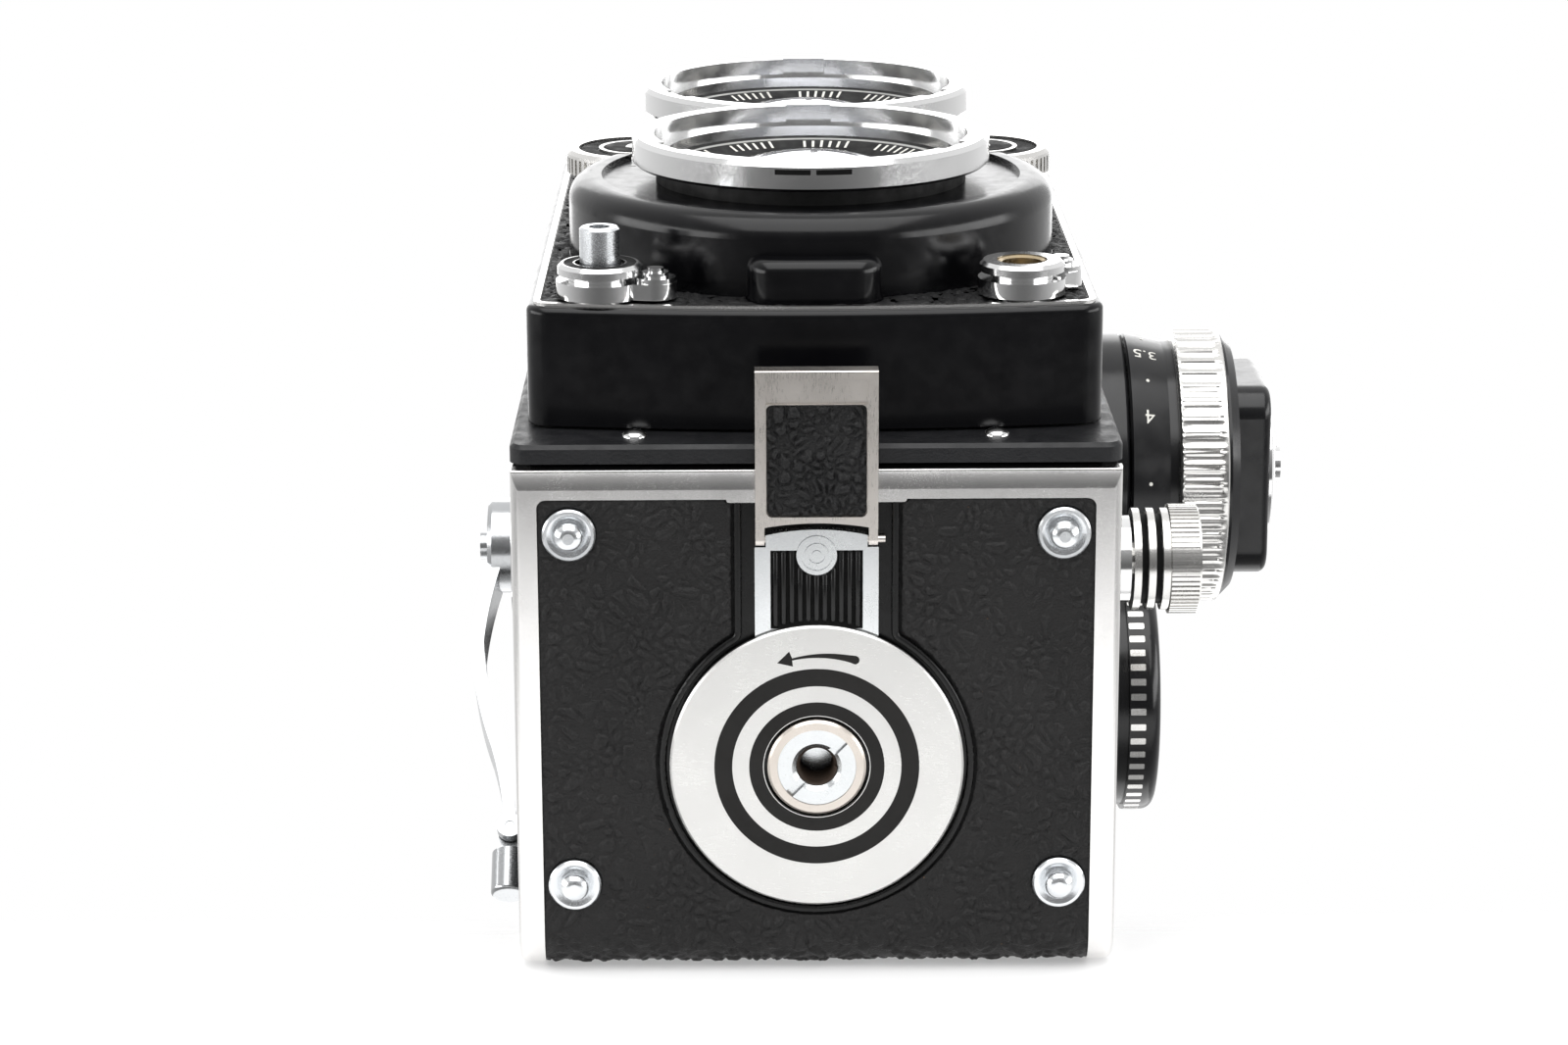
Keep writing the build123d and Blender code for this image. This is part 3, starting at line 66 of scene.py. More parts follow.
# ---------------------------------------------------------------- camera
pitch, yaw, roll = 0.269, 0.008, 0.003
eye_mm = (-7.6, -152.3, -456.6)
forward = Vector((math.sin(yaw) * math.cos(pitch), math.sin(pitch), math.cos(yaw) * math.cos(pitch)))
level_up = Vector((math.sin(yaw) * math.sin(pitch), -math.cos(pitch), math.cos(yaw) * math.sin(pitch)))
level_right = Vector((math.cos(yaw), 0, -math.sin(yaw)))
right = math.cos(roll) * level_right - math.sin(roll) * level_up
up = math.sin(roll) * level_right + math.cos(roll) * level_up
camera_data = bpy.data.cameras.new("camera")
camera_data.lens, camera_data.sensor_width = 90.5, 36.0
camera_data.clip_start, camera_data.clip_end = 0.01, 20.0
camera = bpy.data.objects.new("camera", camera_data)
turn = Matrix((right, up, -forward)).transposed()
camera.matrix_world = Matrix.Translation(Vector(eye_mm) * MM) @ turn.to_4x4()
scene.collection.objects.link(camera)
scene.camera = camera


# ---------------------------------------------------------------- node helpers
class Nodes:
    """Adds nodes to one tree; every call returns the node's first output."""

    def __init__(self, tree):
        self.tree = tree

    def add(self, kind, inputs=None, output=0, **settings):
        made = self.tree.nodes.new(kind)
        for name, value in settings.items():
            setattr(made, name, value)
        for name, value in (inputs or {}).items():
            self.feed(made.inputs[name], value)
        return made.outputs[output]

    def feed(self, socket, value):
        if isinstance(value, bpy.types.NodeSocket):
            self.tree.links.new(value, socket)
        else:
            socket.default_value = value

    def place(self, stretch=(1, 1, 1)):
        here = self.add("ShaderNodeTexCoord", output="Object")
        return self.add("ShaderNodeMapping", {"Vector": here, "Scale": stretch})

    def noise(self, size_mm, detail=3.0, stretch=(1, 1, 1), rough=0.55):
        return self.add("ShaderNodeTexNoise", {
            "Vector": self.place(stretch), "Scale": 1 / (size_mm * MM), "Detail": detail, "Roughness": rough})

    def cells(self, size_mm, feature="F1", stretch=(1, 1, 1)):
        return self.add("ShaderNodeTexVoronoi", {"Vector": self.place(stretch), "Scale": 1 / (size_mm * MM)},
                        feature=feature)

    def span(self, value, low, high, to_low, to_high):
        return self.add("ShaderNodeMapRange", {
            "Value": value, "From Min": low, "From Max": high, "To Min": to_low, "To Max": to_high})

    def math(self, kind, a, b=0.0):
        made = self.tree.nodes.new("ShaderNodeMath")
        made.operation = kind
        self.feed(made.inputs[0], a)
        self.feed(made.inputs[1], b)
        return made.outputs[0]

    def mix(self, share, first, second):
        made = self.tree.nodes.new("ShaderNodeMix")
        made.data_type = "RGBA"
        self.feed(made.inputs[0], share)
        self.feed(made.inputs[6], (*first, 1) if isinstance(first, tuple) else first)
        self.feed(made.inputs[7], (*second, 1) if isinstance(second, tuple) else second)
        return made.outputs[2]

    def bump(self, height, distance_mm, strength=1.0):
        return self.add("ShaderNodeBump", {
            "Height": height, "Distance": distance_mm * MM, "Strength": strength})


def material(name, **sockets):
    """A principled material; socket names use underscores for spaces."""
    made = bpy.data.materials.new(name)
    made.use_nodes = True
    nodes = Nodes(made.node_tree)
    shader = made.node_tree.nodes["Principled BSDF"]
    for key, value in sockets.items():
        socket = shader.inputs[key.replace("_", " ")]
        socket.default_value = (*value, 1) if isinstance(value, tuple) else value
    return made, nodes, shader


def metal(name, color, rough, dark=0.9, brushed=None, grain_mm=0.3, bump_mm=0.004, smudge=0.5):
    """Plated metal: tint and roughness vary in soft smudges, with a fine grain or brushing."""
    made, n, shader = material(name, Metallic=1.0)
    patches = n.noise(22.0, 2)
    smudges = n.noise(6.0, 3)
    n.feed(shader.inputs["Base Color"],
           n.mix(n.span(patches, 0.3, 0.7, 0, 1), tuple(c * dark for c in color), color))
    stretch = brushed or (1, 1, 1)
    grain = n.noise(grain_mm, 4, stretch, 0.65)
    wear = n.span(smudges, 0.35, 0.7, rough * (1 - 0.3 * smudge), rough * (1 + 0.5 * smudge))
    brushing = n.span(grain, 0.3, 0.7, -0.25 * rough, 0.25 * rough)
    n.feed(shader.inputs["Roughness"], n.math("ADD", wear, brushing))
    n.feed(shader.inputs["Normal"], n.bump(grain, bump_mm))
    return made


def enamel(name, color, rough, grain_mm=0.6, bump_mm=0.006, dust=0.5, specular=0.35):
    """Black paint: faint dust, soft rub marks, and the film's own fine texture."""
    made, n, shader = material(name, Specular_IOR_Level=specular)
    patches = n.noise(9.0, 4)
    specks = n.cells(1.9)
    dusty = n.span(specks, 0.03, 0.07, 0.5 * dust, 0.0)
    tint = n.mix(n.span(patches, 0.35, 0.75, 0, 1), color, tuple(c * 1.5 + 0.0006 for c in color))
    n.feed(shader.inputs["Base Color"], n.mix(dusty, tint, (0.05, 0.042, 0.036)))
    n.feed(shader.inputs["Roughness"], n.span(n.noise(2.4, 5), 0.3, 0.72, rough * 0.8, rough * 1.4))
    n.feed(shader.inputs["Normal"], n.bump(n.noise(grain_mm, 3), bump_mm))
    return made


def leather(name, color, rough, fine_mm=0.45, bump_mm=0.035, fleck=0.35):
    """Leatherette over the modelled wrinkles: fine pores and a little brown dust."""
    made, n, shader = material(name, Specular_IOR_Level=0.27)
    pores = n.cells(fine_mm, "DISTANCE_TO_EDGE")
    fine = n.noise(0.22, 3)
    broad = n.noise(16.0, 4)
    specks = n.cells(2.6)
    light = tuple(c * 1.55 for c in color)
    where = n.span(n.noise(7.0), 0.45, 0.65, 0, 1)
    dusty = n.math("MULTIPLY", n.span(specks, 0.02, 0.05, fleck, 0.0), where)
    tint = n.mix(n.span(broad, 0.35, 0.7, 0, 1), color, light)
    n.feed(shader.inputs["Base Color"], n.mix(dusty, tint, (0.10, 0.055, 0.025)))
    n.feed(shader.inputs["Roughness"], n.span(n.noise(1.2, 4), 0.3, 0.7, rough * 0.85, rough * 1.2))
    height = n.math("ADD", n.span(pores, 0.0, 0.25, 0.0, 0.8), n.math("MULTIPLY", fine, 0.6))
    n.feed(shader.inputs["Normal"], n.bump(height, bump_mm, 0.8))
    return made


def glass(name, tint, rough=0.0, ior=1.62, grain_mm=None):
    """Coated glass with a little dust; grain_mm gives it a ground face."""
    made, n, shader = material(name, Base_Color=tint, Transmission_Weight=1.0, IOR=ior, Coat_Weight=0.6,
                               Coat_Roughness=0.02, Coat_Tint=(0.97, 0.98, 1.0))
    dust = n.cells(2.4)
    low = rough if grain_mm else 0.0
    n.feed(shader.inputs["Roughness"], n.span(dust, 0.02, 0.05, 0.35, low))
    if grain_mm:
        n.feed(shader.inputs["Normal"], n.bump(n.noise(grain_mm, 2), 0.01))
    return made


def glow_white(name, opacity_node, emission):
    """Stage white that fades out at its edges; the back side is clear."""
    made = bpy.data.materials.new(name)
    made.use_nodes = True
    tree = made.node_tree
    tree.nodes.clear()
    n = Nodes(tree)
    diffuse = n.add("ShaderNodeBsdfDiffuse", {"Color": (0.70, 0.70, 0.70, 1)})
    light = n.add("ShaderNodeEmission", {"Color": (1, 1, 1, 1), "Strength": emission})
    lit = n.add("ShaderNodeAddShader")
    tree.links.new(diffuse, lit.node.inputs[0])
    tree.links.new(light, lit.node.inputs[1])
    clear = n.add("ShaderNodeBsdfTransparent")
    faded = n.add("ShaderNodeMixShader")
    n.feed(faded.node.inputs[0], opacity_node(n))
    tree.links.new(clear, faded.node.inputs[1])
    tree.links.new(lit, faded.node.inputs[2])
    behind = n.add("ShaderNodeNewGeometry", output="Backfacing")
    sided = n.add("ShaderNodeMixShader")
    n.feed(sided.node.inputs[0], behind)
    tree.links.new(faded, sided.node.inputs[1])
    tree.links.new(clear, sided.node.inputs[2])
    out = tree.nodes.new("ShaderNodeOutputMaterial")
    tree.links.new(sided, out.inputs[0])
    return made


# ---------------------------------------------------------------- materials
M = {
    "base_leather": leather("base_leather", (0.0075, 0.0072, 0.0072), 0.42, 0.42, 0.05, 0.9),
    "side_leather": leather("side_leather", (0.0085, 0.0085, 0.0088), 0.48, 0.5, 0.06),
    "clasp_leather": leather("clasp_leather", (0.0065, 0.0065, 0.0068), 0.40, 0.4, 0.06),
    "rail_chrome": metal("rail_chrome", (0.84, 0.83, 0.82), 0.22, 0.97, (1, 1, 1), 0.12, 0.002, 0.3),
    "dial_chrome": metal("dial_chrome", (0.72, 0.715, 0.70), 0.33, 0.97, (0.12, 1, 1), 0.09, 0.004, 0.25),
    "dial_ink": enamel("dial_ink", (0.010, 0.0095, 0.009), 0.5, 0.15, 0.01, 0.2, 0.22),
    "link_chrome": metal("link_chrome", (0.80, 0.82, 0.83), 0.22, 0.95, None, 0.25, 0.0015, 0.4),
    "clasp_steel": metal("clasp_steel", (0.72, 0.68, 0.64), 0.32, 0.93, (1, 0.05, 1), 0.06, 0.003, 0.25),
    "bright_chrome": metal("bright_chrome", (0.84, 0.84, 0.84), 0.11, 0.95, None, 0.5, 0.002),
    "ring_chrome": metal("ring_chrome", (0.80, 0.80, 0.80), 0.15, 0.95, None, 0.4, 0.002),
    "knurl_chrome": metal("knurl_chrome", (0.78, 0.77, 0.75), 0.22, 0.9, None, 0.2, 0.004),
    "nickel": metal("nickel", (0.74, 0.68, 0.62), 0.33, 0.92, None, 0.12, 0.005),
    "turned_steel": metal("turned_steel", (0.74, 0.76, 0.77), 0.22, 0.93, None, 0.14, 0.006),
    "satin_bright": metal("satin_bright", (0.78, 0.80, 0.82), 0.24, 0.96, None, 0.12, 0.0015, 0.25),
    "bore_brown": enamel("bore_brown", (0.030, 0.020, 0.014), 0.5, 0.3, 0.02),
    "crank_steel": metal("crank_steel", (0.52, 0.53, 0.54), 0.22, 0.93, None, 0.3, 0.003),
    "brass": metal("brass", (0.50, 0.40, 0.25), 0.28, 0.85, None, 0.2, 0.004),
    "spool_metal": enamel("spool_metal", (0.02, 0.02, 0.02), 0.4),
    "gloss_black": enamel("gloss_black", (0.0035, 0.0035, 0.0042), 0.20, 1.4, 0.003, 0.2, 0.45),
    "board_black": enamel("board_black", (0.0016, 0.0016, 0.0021), 0.19, 1.6, 0.002, 0.15, 0.33),
    "crinkle_black": enamel("crinkle_black", (0.0060, 0.0062, 0.0072), 0.40, 0.42, 0.05, 0.4),
    "shell_black": enamel("shell_black", (0.006, 0.006, 0.0065), 0.34, 0.7, 0.012, 0.3),
    "matte_black": enamel("matte_black", (0.006, 0.006, 0.006), 0.62, 0.3, 0.02, 0.3),
    "pan_black": enamel("pan_black", (0.0022, 0.0022, 0.0022), 0.24, 0.8, 0.004, 0.3, 0.3),
    "rib_black": enamel("rib_black", (0.0035, 0.0035, 0.0035), 0.28, 0.4, 0.006, 0.4),
    "ink_white": enamel("ink_white", (0.62, 0.61, 0.57), 0.45, 0.3, 0.01, 0.2),
    "ink_grey": enamel("ink_grey", (0.30, 0.30, 0.29), 0.45, 0.3, 0.01, 0.2),
    "slot_black": enamel("slot_black", (0.004, 0.004, 0.004), 0.6, 0.3, 0.01, 0.0, 0.12),
    "lens_glass": glass("lens_glass", (0.97, 0.975, 1.0)),
    "screen_glass": glass("screen_glass", (0.93, 0.94, 0.92), 0.35, 1.5, 0.2),
    "mirror": metal("mirror", (0.90, 0.91, 0.92), 0.02, 0.98, None, 3.0, 0.0005),
}

CARRIED = {
    "matte_black": ("left_side_panel", "right_side_panel", "mirror_box_floor", "film_chamber_wall",
                    "film_gate", "base_plate", "back_plate", "pressure_plate", "shutter_blades",
                    "taking_barrel", "viewing_barrel"),
    "crinkle_black": ("front_flange",),
    "shell_black": ("top_deck", "hood_lid", "magnifier", "left_flap", "right_flap", "rear_flap"),
    "board_black": ("front_shroud", "shutter_drum"),
    "gloss_black": ("focus_bearing", "focus_scale_ring", "meter_housing", "film_dial"),
    "pan_black": ("recess_pan",),
    "rail_chrome": ("door_frame", "panel_outline"),
    "dial_chrome": ("lock_dial",),
    "link_chrome": ("latch_link",),
    "clasp_steel": ("clasp",),
    "ring_chrome": ("taking_ring", "viewing_ring", "control_collars"),
    "satin_bright": ("release_button", "feet"),
    "bright_chrome": ("release_lock_lever", "sync_lever", "meter_cap", "side_bushes",
                      "back_hinge"),
    "crank_steel": ("crank_arm", "crank_handle"),
    "knurl_chrome": ("speed_wheel", "aperture_wheel", "lower_spool_knob", "upper_spool_knob"),
    "nickel": ("tripod_bush",),
    "turned_steel": ("tripod_insert",),
    "spool_metal": ("supply_spool", "takeup_spool"),
    "lens_glass": ("taking_glass", "viewing_glass"),
    "screen_glass": ("focusing_screen",),
    "mirror": ("mirror",),
}
REPLACED = {"door_leather", "side_leathers", "front_leather", "clasp_leather", "link_ribs",
            "focus_grip_ring"}
carried = {node: name for name, nodes in CARRIED.items() for node in nodes}
assert set(carried) | REPLACED == set(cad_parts), set(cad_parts) ^ (set(carried) | REPLACED)
for node_name, material_name in carried.items():
    for slot in bpy.data.objects[node_name].material_slots:
        slot.material = M[material_name]


# ---------------------------------------------------------------- mesh helpers
def piece(name, points_mm, faces, material_name, body, smooth=False, replaces=()):
    """One visible piece, in mm, that rides a body and may stand in for solid parts."""
    mesh = bpy.data.meshes.new(name)
    mesh.from_pydata((np.asarray(points_mm) * MM).tolist(), [], [list(map(int, f)) for f in faces])
    mesh.update()
    mesh.materials.append(M[material_name])
    if smooth:
        mesh.shade_smooth()
    made = bpy.data.objects.new(name, mesh)
    scene.collection.objects.link(made)
    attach(made, body)
    if replaces:
        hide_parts(*replaces)
    return made


def arc(cx, cy, r, start, end, step=8.0):
    count = max(2, int(abs(end - start) / step) + 1)
    return [(cx + r * math.cos(math.radians(a)), cy + r * math.sin(math.radians(a)))
            for a in np.linspace(start, end, count)]


def circle(cx, cy, r, count=72):
    return arc(cx, cy, r, 0, 360 - 360 / count, 360 / count)


def rounded(x0, y0, x1, y1, r, step=15.0):
    """A rectangle with round corners, counterclockwise."""
    return (arc(x0 + r, y0 + r, r, 180, 270, step) + arc(x1 - r, y0 + r, r, 270, 360, step)
            + arc(x1 - r, y1 - r, r, 0, 90, step) + arc(x0 + r, y1 - r, r, 90, 180, step))


def resample(loop, step):
    """The closed loop again, with points about every step mm."""
    out = []
    for (ax, ay), (bx, by) in zip(loop, loop[1:] + loop[:1]):
        length = math.hypot(bx - ax, by - ay)
        if length < 1e-6:
            continue
        for t in np.arange(max(1, round(length / step))) / max(1, round(length / step)):
            out.append((ax + (bx - ax) * t, ay + (by - ay) * t))
    return out


def within(u, v, loop):
    """True for the points inside the loop, by counting crossings."""
    hit = np.zeros(u.shape, bool)
    for (ax, ay), (bx, by) in zip(loop, loop[1:] + loop[:1]):
        if ay != by:
            crossing = (ay > v) != (by > v)
            hit ^= crossing & (u < (bx - ax) * (v - ay) / (by - ay) + ax)
    return hit


def triangulate(loops, extra=()):
    """Triangles of loops[0] less the other loops, with extra points inside."""
    points = [Vector(p) for loop in loops for p in loop] + [Vector(p) for p in extra]
    edges, first = [], 0
    for loop in loops:
        edges += [(first + i, first + (i + 1) % len(loop)) for i in range(len(loop))]
        first += len(loop)
    corners, _, faces, *_ = delaunay_2d_cdt(points, edges, [], 0, 1e-6)
    uv = np.array([tuple(c) for c in corners])
    faces = np.array([f for f in faces if len(f) == 3])
    middle = uv[faces].mean(axis=1)
    keep = within(middle[:, 0], middle[:, 1], loops[0])
    for loop in loops[1:]:
        keep &= ~within(middle[:, 0], middle[:, 1], loop)
    return uv, faces[keep]


def nearest(uv, loops):
    """Distance from each point to the nearest point of the (finely resampled) loops."""
    marks = [p for loop in loops for p in loop]
    tree = KDTree(len(marks))
    for i, p in enumerate(marks):
        tree.insert((*p, 0), i)
    tree.balance()
    return np.array([tree.find((u, v, 0))[2] for u, v in uv])


def solid(uv, faces, place, top, bottom):
    """Closed solid: faces over (u, v) at height top, a rim round their outline, the same faces at bottom."""
    count = len(uv)
    top = np.broadcast_to(np.asarray(top, float), (count,))
    bottom = np.broadcast_to(np.asarray(bottom, float), (count,))
    a = faces
    b = np.roll(faces, -1, axis=1)
    forward_code = (a * count + b).ravel()
    back_code = (b * count + a).ravel()
    rim = ~np.isin(forward_code, back_code)
    ra, rb = a.ravel()[rim], b.ravel()[rim]
    points = np.vstack([place(uv[:, 0], uv[:, 1], top), place(uv[:, 0], uv[:, 1], bottom)])
    sides = np.stack([ra, ra + count, rb + count, rb], axis=1)
    under = faces[:, ::-1] + count
    used = np.unique(faces)
    remap = np.full(2 * count, -1)
    keep = np.concatenate([used, used + count])
    remap[keep] = np.arange(len(keep))
    return points[keep], [list(remap[f]) for f in faces] + [list(remap[f]) for f in sides] + [
        list(remap[f]) for f in under]


def hash2(ix, iy, salt):
    """Two repeatable scattered numbers between 0 and 1 for every grid cell."""
    h = np.sin(ix * 127.1 + iy * 311.7 + salt * 74.7) * 43758.5453
    g = np.sin(ix * 269.5 + iy * 183.3 + salt * 12.9) * 24634.6345
    return h - np.floor(h), g - np.floor(g)


def cell_field(u, v, size, salt):
    """Distances to the nearest and second nearest of a jittered grid of points."""
    p, q = u / size, v / size
    ip, iq = np.floor(p), np.floor(q)
    f1 = np.full(p.shape, 9.0)
    f2 = f1.copy()
    for dp in (-1, 0, 1):
        for dq in (-1, 0, 1):
            jp, jq = hash2(ip + dp, iq + dq, salt)
            d = np.hypot(ip + dp + jp - p, iq + dq + jq - q)
            f2 = np.minimum(f2, np.maximum(f1, d))
            f1 = np.minimum(f1, d)
    return f1, f2


def value_field(u, v, size, salt):
    """Smooth noise between 0 and 1."""
    p, q = u / size, v / size
    ip, iq = np.floor(p), np.floor(q)
    fp, fq = p - ip, q - iq
    fp, fq = fp * fp * (3 - 2 * fp), fq * fq * (3 - 2 * fq)
    corner = {(i, j): hash2(ip + i, iq + j, salt)[0] for i in (0, 1) for j in (0, 1)}
    low = corner[0, 0] * (1 - fp) + corner[1, 0] * fp
    high = corner[0, 1] * (1 - fp) + corner[1, 1] * fp
    return low * (1 - fq) + high * fq


def wrinkles(u, v, size, salt, crease=0.28):
    """Leather surface between 0 and 1: rounded cells with creases between them."""
    du = value_field(u, v, size * 1.7, salt + 3) - 0.5
    dv = value_field(u, v, size * 1.7, salt + 5) - 0.5
    u, v = u + du * size * 1.3, v + dv * size * 1.3
    f1, f2 = cell_field(u, v, size, salt)
    edge = np.clip((f2 - f1) / crease, 0, 1) ** 0.8
    g1, g2 = cell_field(u + 7.3, v + 2.9, size * 0.47, salt + 9)
    small = np.clip((g2 - g1) / 0.4, 0, 1)
    return 0.66 * edge + 0.16 * small + 0.18 * value_field(u, v, size * 3.1, salt + 7)


def skin(name, loops, place, material_name, body, salt, spacing, size, depth, thick=0.3, edge=0.6, drop=0.12,
         density=None, replaces=(), crease=0.28):
    """Leather cut to loops[0] less the holes, with its wrinkles modelled.

    spacing is the triangles' size, size and depth are the wrinkles', and drop lets the edge down.
    """
    step = spacing * COARSE
    loops = [resample(loop, step) for loop in loops]
    xs, ys = np.array(loops[0]).T
    rng = np.random.default_rng(salt)
    rows = []
    v = ys.min()
    row = 0
    while v < ys.max():
        here = step * (density(v) if density else 1.0)
        u = np.arange(xs.min() + (row % 2) * here / 2, xs.max(), here)
        rows.append(np.stack([u, np.full(u.shape, v)], axis=1))
        v += here * 0.866
        row += 1
    lattice = np.vstack(rows)
    lattice += rng.uniform(-0.18, 0.18, lattice.shape) * step
    keep = within(lattice[:, 0], lattice[:, 1], loops[0])
    for loop in loops[1:]:
        keep &= ~within(lattice[:, 0], lattice[:, 1], loop)
    lattice = lattice[keep]
    lattice = lattice[nearest(lattice, loops) > 0.45 * step]
    uv, faces = triangulate(loops, lattice.tolist())
    away = nearest(uv, loops)
    t = np.clip(away / edge, 0, 1)
    t = t * t * (3 - 2 * t)
    relief = (wrinkles(uv[:, 0], uv[:, 1], size, salt, crease) - 0.8) * depth
    height = relief * (0.35 + 0.65 * t) - drop * (1 - t)
    points, all_faces = solid(uv, faces, place, height, -thick)
    return piece(name, points, all_faces, material_name, body, smooth=True, replaces=replaces)


def flat(name, outlines, place, top, bottom, material_name, body):
    """Thin raised marks: every outline is a list of loops, the first one less the others."""
    points, faces, first = [], [], 0
    for loops in outlines:
        uv, tris = triangulate(loops)
        p, f = solid(uv, tris, place, top, bottom)
        points.append(p)
        faces += [[i + first for i in face] for face in f]
        first += len(p)
    return piece(name, np.vstack(points), faces, material_name, body)


def lathe(name, profile, origin, axis, material_name, body, count=96):
    """Profile points are (radius, distance along axis) in mm, turned round the axis."""
    axis = Vector(axis).normalized()
    side = axis.orthogonal().normalized()
    third = axis.cross(side)
    points, faces = [], []
    for i in range(count):
        a = 2 * math.pi * i / count
        out = side * math.cos(a) + third * math.sin(a)
        for r, h in profile:
            points.append(tuple(Vector(origin) + out * r + axis * h))
    size = len(profile)
    for i in range(count):
        j = (i + 1) % count
        for k in range(size):
            m = (k + 1) % size
            faces.append([i * size + k, i * size + m, j * size + m, j * size + k])
    made = piece(name, points, faces, material_name, body)
    made.data.shade_smooth()
    made.data.set_sharp_from_angle(angle=math.radians(35))
    return made


def glyphs(text, height):
    """Flat triangles of a line of text, centred on (0, 0), height mm tall."""
    curve = bpy.data.curves.new("glyphs", "FONT")
    curve.body = text
    curve.align_x, curve.align_y = "CENTER", "CENTER"
    curve.size = height * 1.38
    holder = bpy.data.objects.new("glyphs", curve)
    scene.collection.objects.link(holder)
    bpy.context.view_layer.update()
    mesh = bpy.data.meshes.new_from_object(holder)
    mesh.calc_loop_triangles()
    uv = np.array([v.co[:2] for v in mesh.vertices])
    tris = np.array([t.vertices[:] for t in mesh.loop_triangles])
    bpy.data.objects.remove(holder)
    bpy.data.curves.remove(curve)
    bpy.data.meshes.remove(mesh)
    return uv, tris


def lettering(name, marks, place, top, bottom, material_name, body):
    """marks are (text, height, u, v, angle in degrees)."""
    points, faces, first = [], [], 0
    for text, height, u, v, angle in marks:
        uv, tris = glyphs(text, height)
        c, s = math.cos(math.radians(angle)), math.sin(math.radians(angle))
        uv = np.stack([uv[:, 0] * c - uv[:, 1] * s + u, uv[:, 0] * s + uv[:, 1] * c + v], axis=1)
        p, f = solid(uv, tris, place, top, bottom)
        points.append(p)
        faces += [[i + first for i in face] for face in f]
        first += len(p)
    return piece(name, np.vstack(points), faces, material_name, body)


def stack(x, y, z):
    return np.stack(np.broadcast_arrays(x, y, z), axis=1)


def on_base(z):
    """A downward face at height z: u is X, v is -Y."""
    return lambda u, v, h: stack(u, -v, z - h)


def on_front(y):
    """A face towards the lenses' way: u is X, v is Z."""
    return lambda u, v, h: stack(u, y - h, v)


# ---------------------------------------------------------------- leather of the hinged door
recess_r, channel_half, neck = 18.45, 9.1, 1.8
rim_width, seam = 0.95, 0.33
leather_half, leather_front, bend_at, bend_r = 33.72, -28.6, 27.3, 5.0
base_face, door_top = 2.2, 109.15
base_run = bend_at - leather_front
bend_run = bend_r * math.pi / 2


def on_door(u, v, h):
    turn_angle = np.clip((v - base_run) / bend_r, 0, math.pi / 2)
    past = np.maximum(v - base_run - bend_run, 0)
    y = np.where(v < base_run, leather_front + v, bend_at + (bend_r + h) * np.sin(turn_angle))
    z = np.where(v < base_run, base_face - h, base_face + bend_r - (bend_r + h) * np.cos(turn_angle) + past)
    return stack(u, y, z)


open_r = recess_r + rim_width + seam
open_half = channel_half + rim_width + seam
neck_x = channel_half + neck
neck_y = dial_y - math.sqrt((recess_r + neck) ** 2 - neck_x ** 2)
neck_turn = math.degrees(math.atan2(dial_y - neck_y, neck_x))
neck_r = neck - rim_width - seam
to_v = -leather_front
door_end = base_run + bend_run + door_top - (base_face + bend_r)
corner, top_corner = 0.9, 2.0
half_path = [(11.35, 0.0), (11.1, 0.28), (10.8, 0.42), (open_half, 0.45)]
door_loop = (
    arc(-leather_half + corner, corner, corner, 180, 270)
    + [(-x, v) for x, v in half_path]
    + arc(-neck_x, neck_y + to_v, neck_r, 0, neck_turn, 12)
    + arc(0, dial_y + to_v, open_r, 180 + neck_turn, -neck_turn, 2)
    + arc(neck_x, neck_y + to_v, neck_r, 180 - neck_turn, 180, 12)
    + half_path[::-1]
    + arc(leather_half - corner, corner, corner, 270, 360)
    + arc(leather_half - top_corner, door_end - top_corner, top_corner, 0, 90)
    + arc(-leather_half + top_corner, door_end - top_corner, top_corner, 90, 180)
)
foot_hole_r = 3.36
feet_holes = [circle(x, y + to_v, foot_hole_r, 48) for x, y in feet_at]


def door_density(v):
    """The upright back carries coarser triangles than the base."""
    return 1.0 if v < base_run + 2 else 1.5


skin("door_skin", [door_loop] + feet_holes, on_door, material_name="base_leather", body="back_door", salt=11,
     spacing=0.27, size=1.7, depth=0.85, density=door_density, replaces=("door_leather",), edge=0.7,
     drop=0.16, crease=0.62)

# ---------------------------------------------------------------- side, front, clasp and hood leathers
side_loop = rounded(-31.85, 7.05, 28.55, 116.95, 1.6)
for side_name, sign, holes in (
        ("left_skin", -1, [(crank_y, crank_z, 13.75)]),
        ("right_skin", 1, [(focus_y, focus_z, 18.9), (film_dial_y, film_dial_z, 14.1),
                           (supply_y, supply_z, 5.75), (takeup_y, takeup_z, 4.95)])):
    skin(side_name, [side_loop] + [circle(*hole) for hole in holes],
         lambda u, v, h, s=sign: stack(s * (side_x + h), u, v), material_name="side_leather",
         body="camera_body", salt=21 + sign, spacing=0.42, size=1.9, depth=0.8,
         replaces=("side_leathers",) if sign > 0 else (), crease=0.6)

board_low, board_high, board_half, board_bow = 13.2, 111.6, 33.4, 3.0
sweep = np.linspace(-1, 1, 25)
board_loop = ([(board_half * s, board_low - board_bow * (1 - s * s)) for s in sweep]
              + [(board_half * s, board_high + board_bow * (1 - s * s)) for s in sweep[::-1]])
collar_hole_r, wheel_hole_r = 4.25, 7.75
board_holes = [circle(0, taking_z, drum_r + 0.1, 120), rounded(-8.45, 11.5, 8.45, 34.5, 3.7),
               circle(0, viewing_z, 20.6, 96), circle(release_x, release_z, collar_hole_r, 40),
               circle(sync_x, sync_z, collar_hole_r, 40), circle(-wheel_x, wheel_z, wheel_hole_r, 48),
               circle(wheel_x, wheel_z, wheel_hole_r, 48)]
skin("front_skin", [board_loop] + board_holes, on_front(-50.8), material_name="side_leather",
     body="lens_board", salt=31, spacing=0.42, size=1.9, depth=0.6, replaces=("front_leather",), crease=0.6)

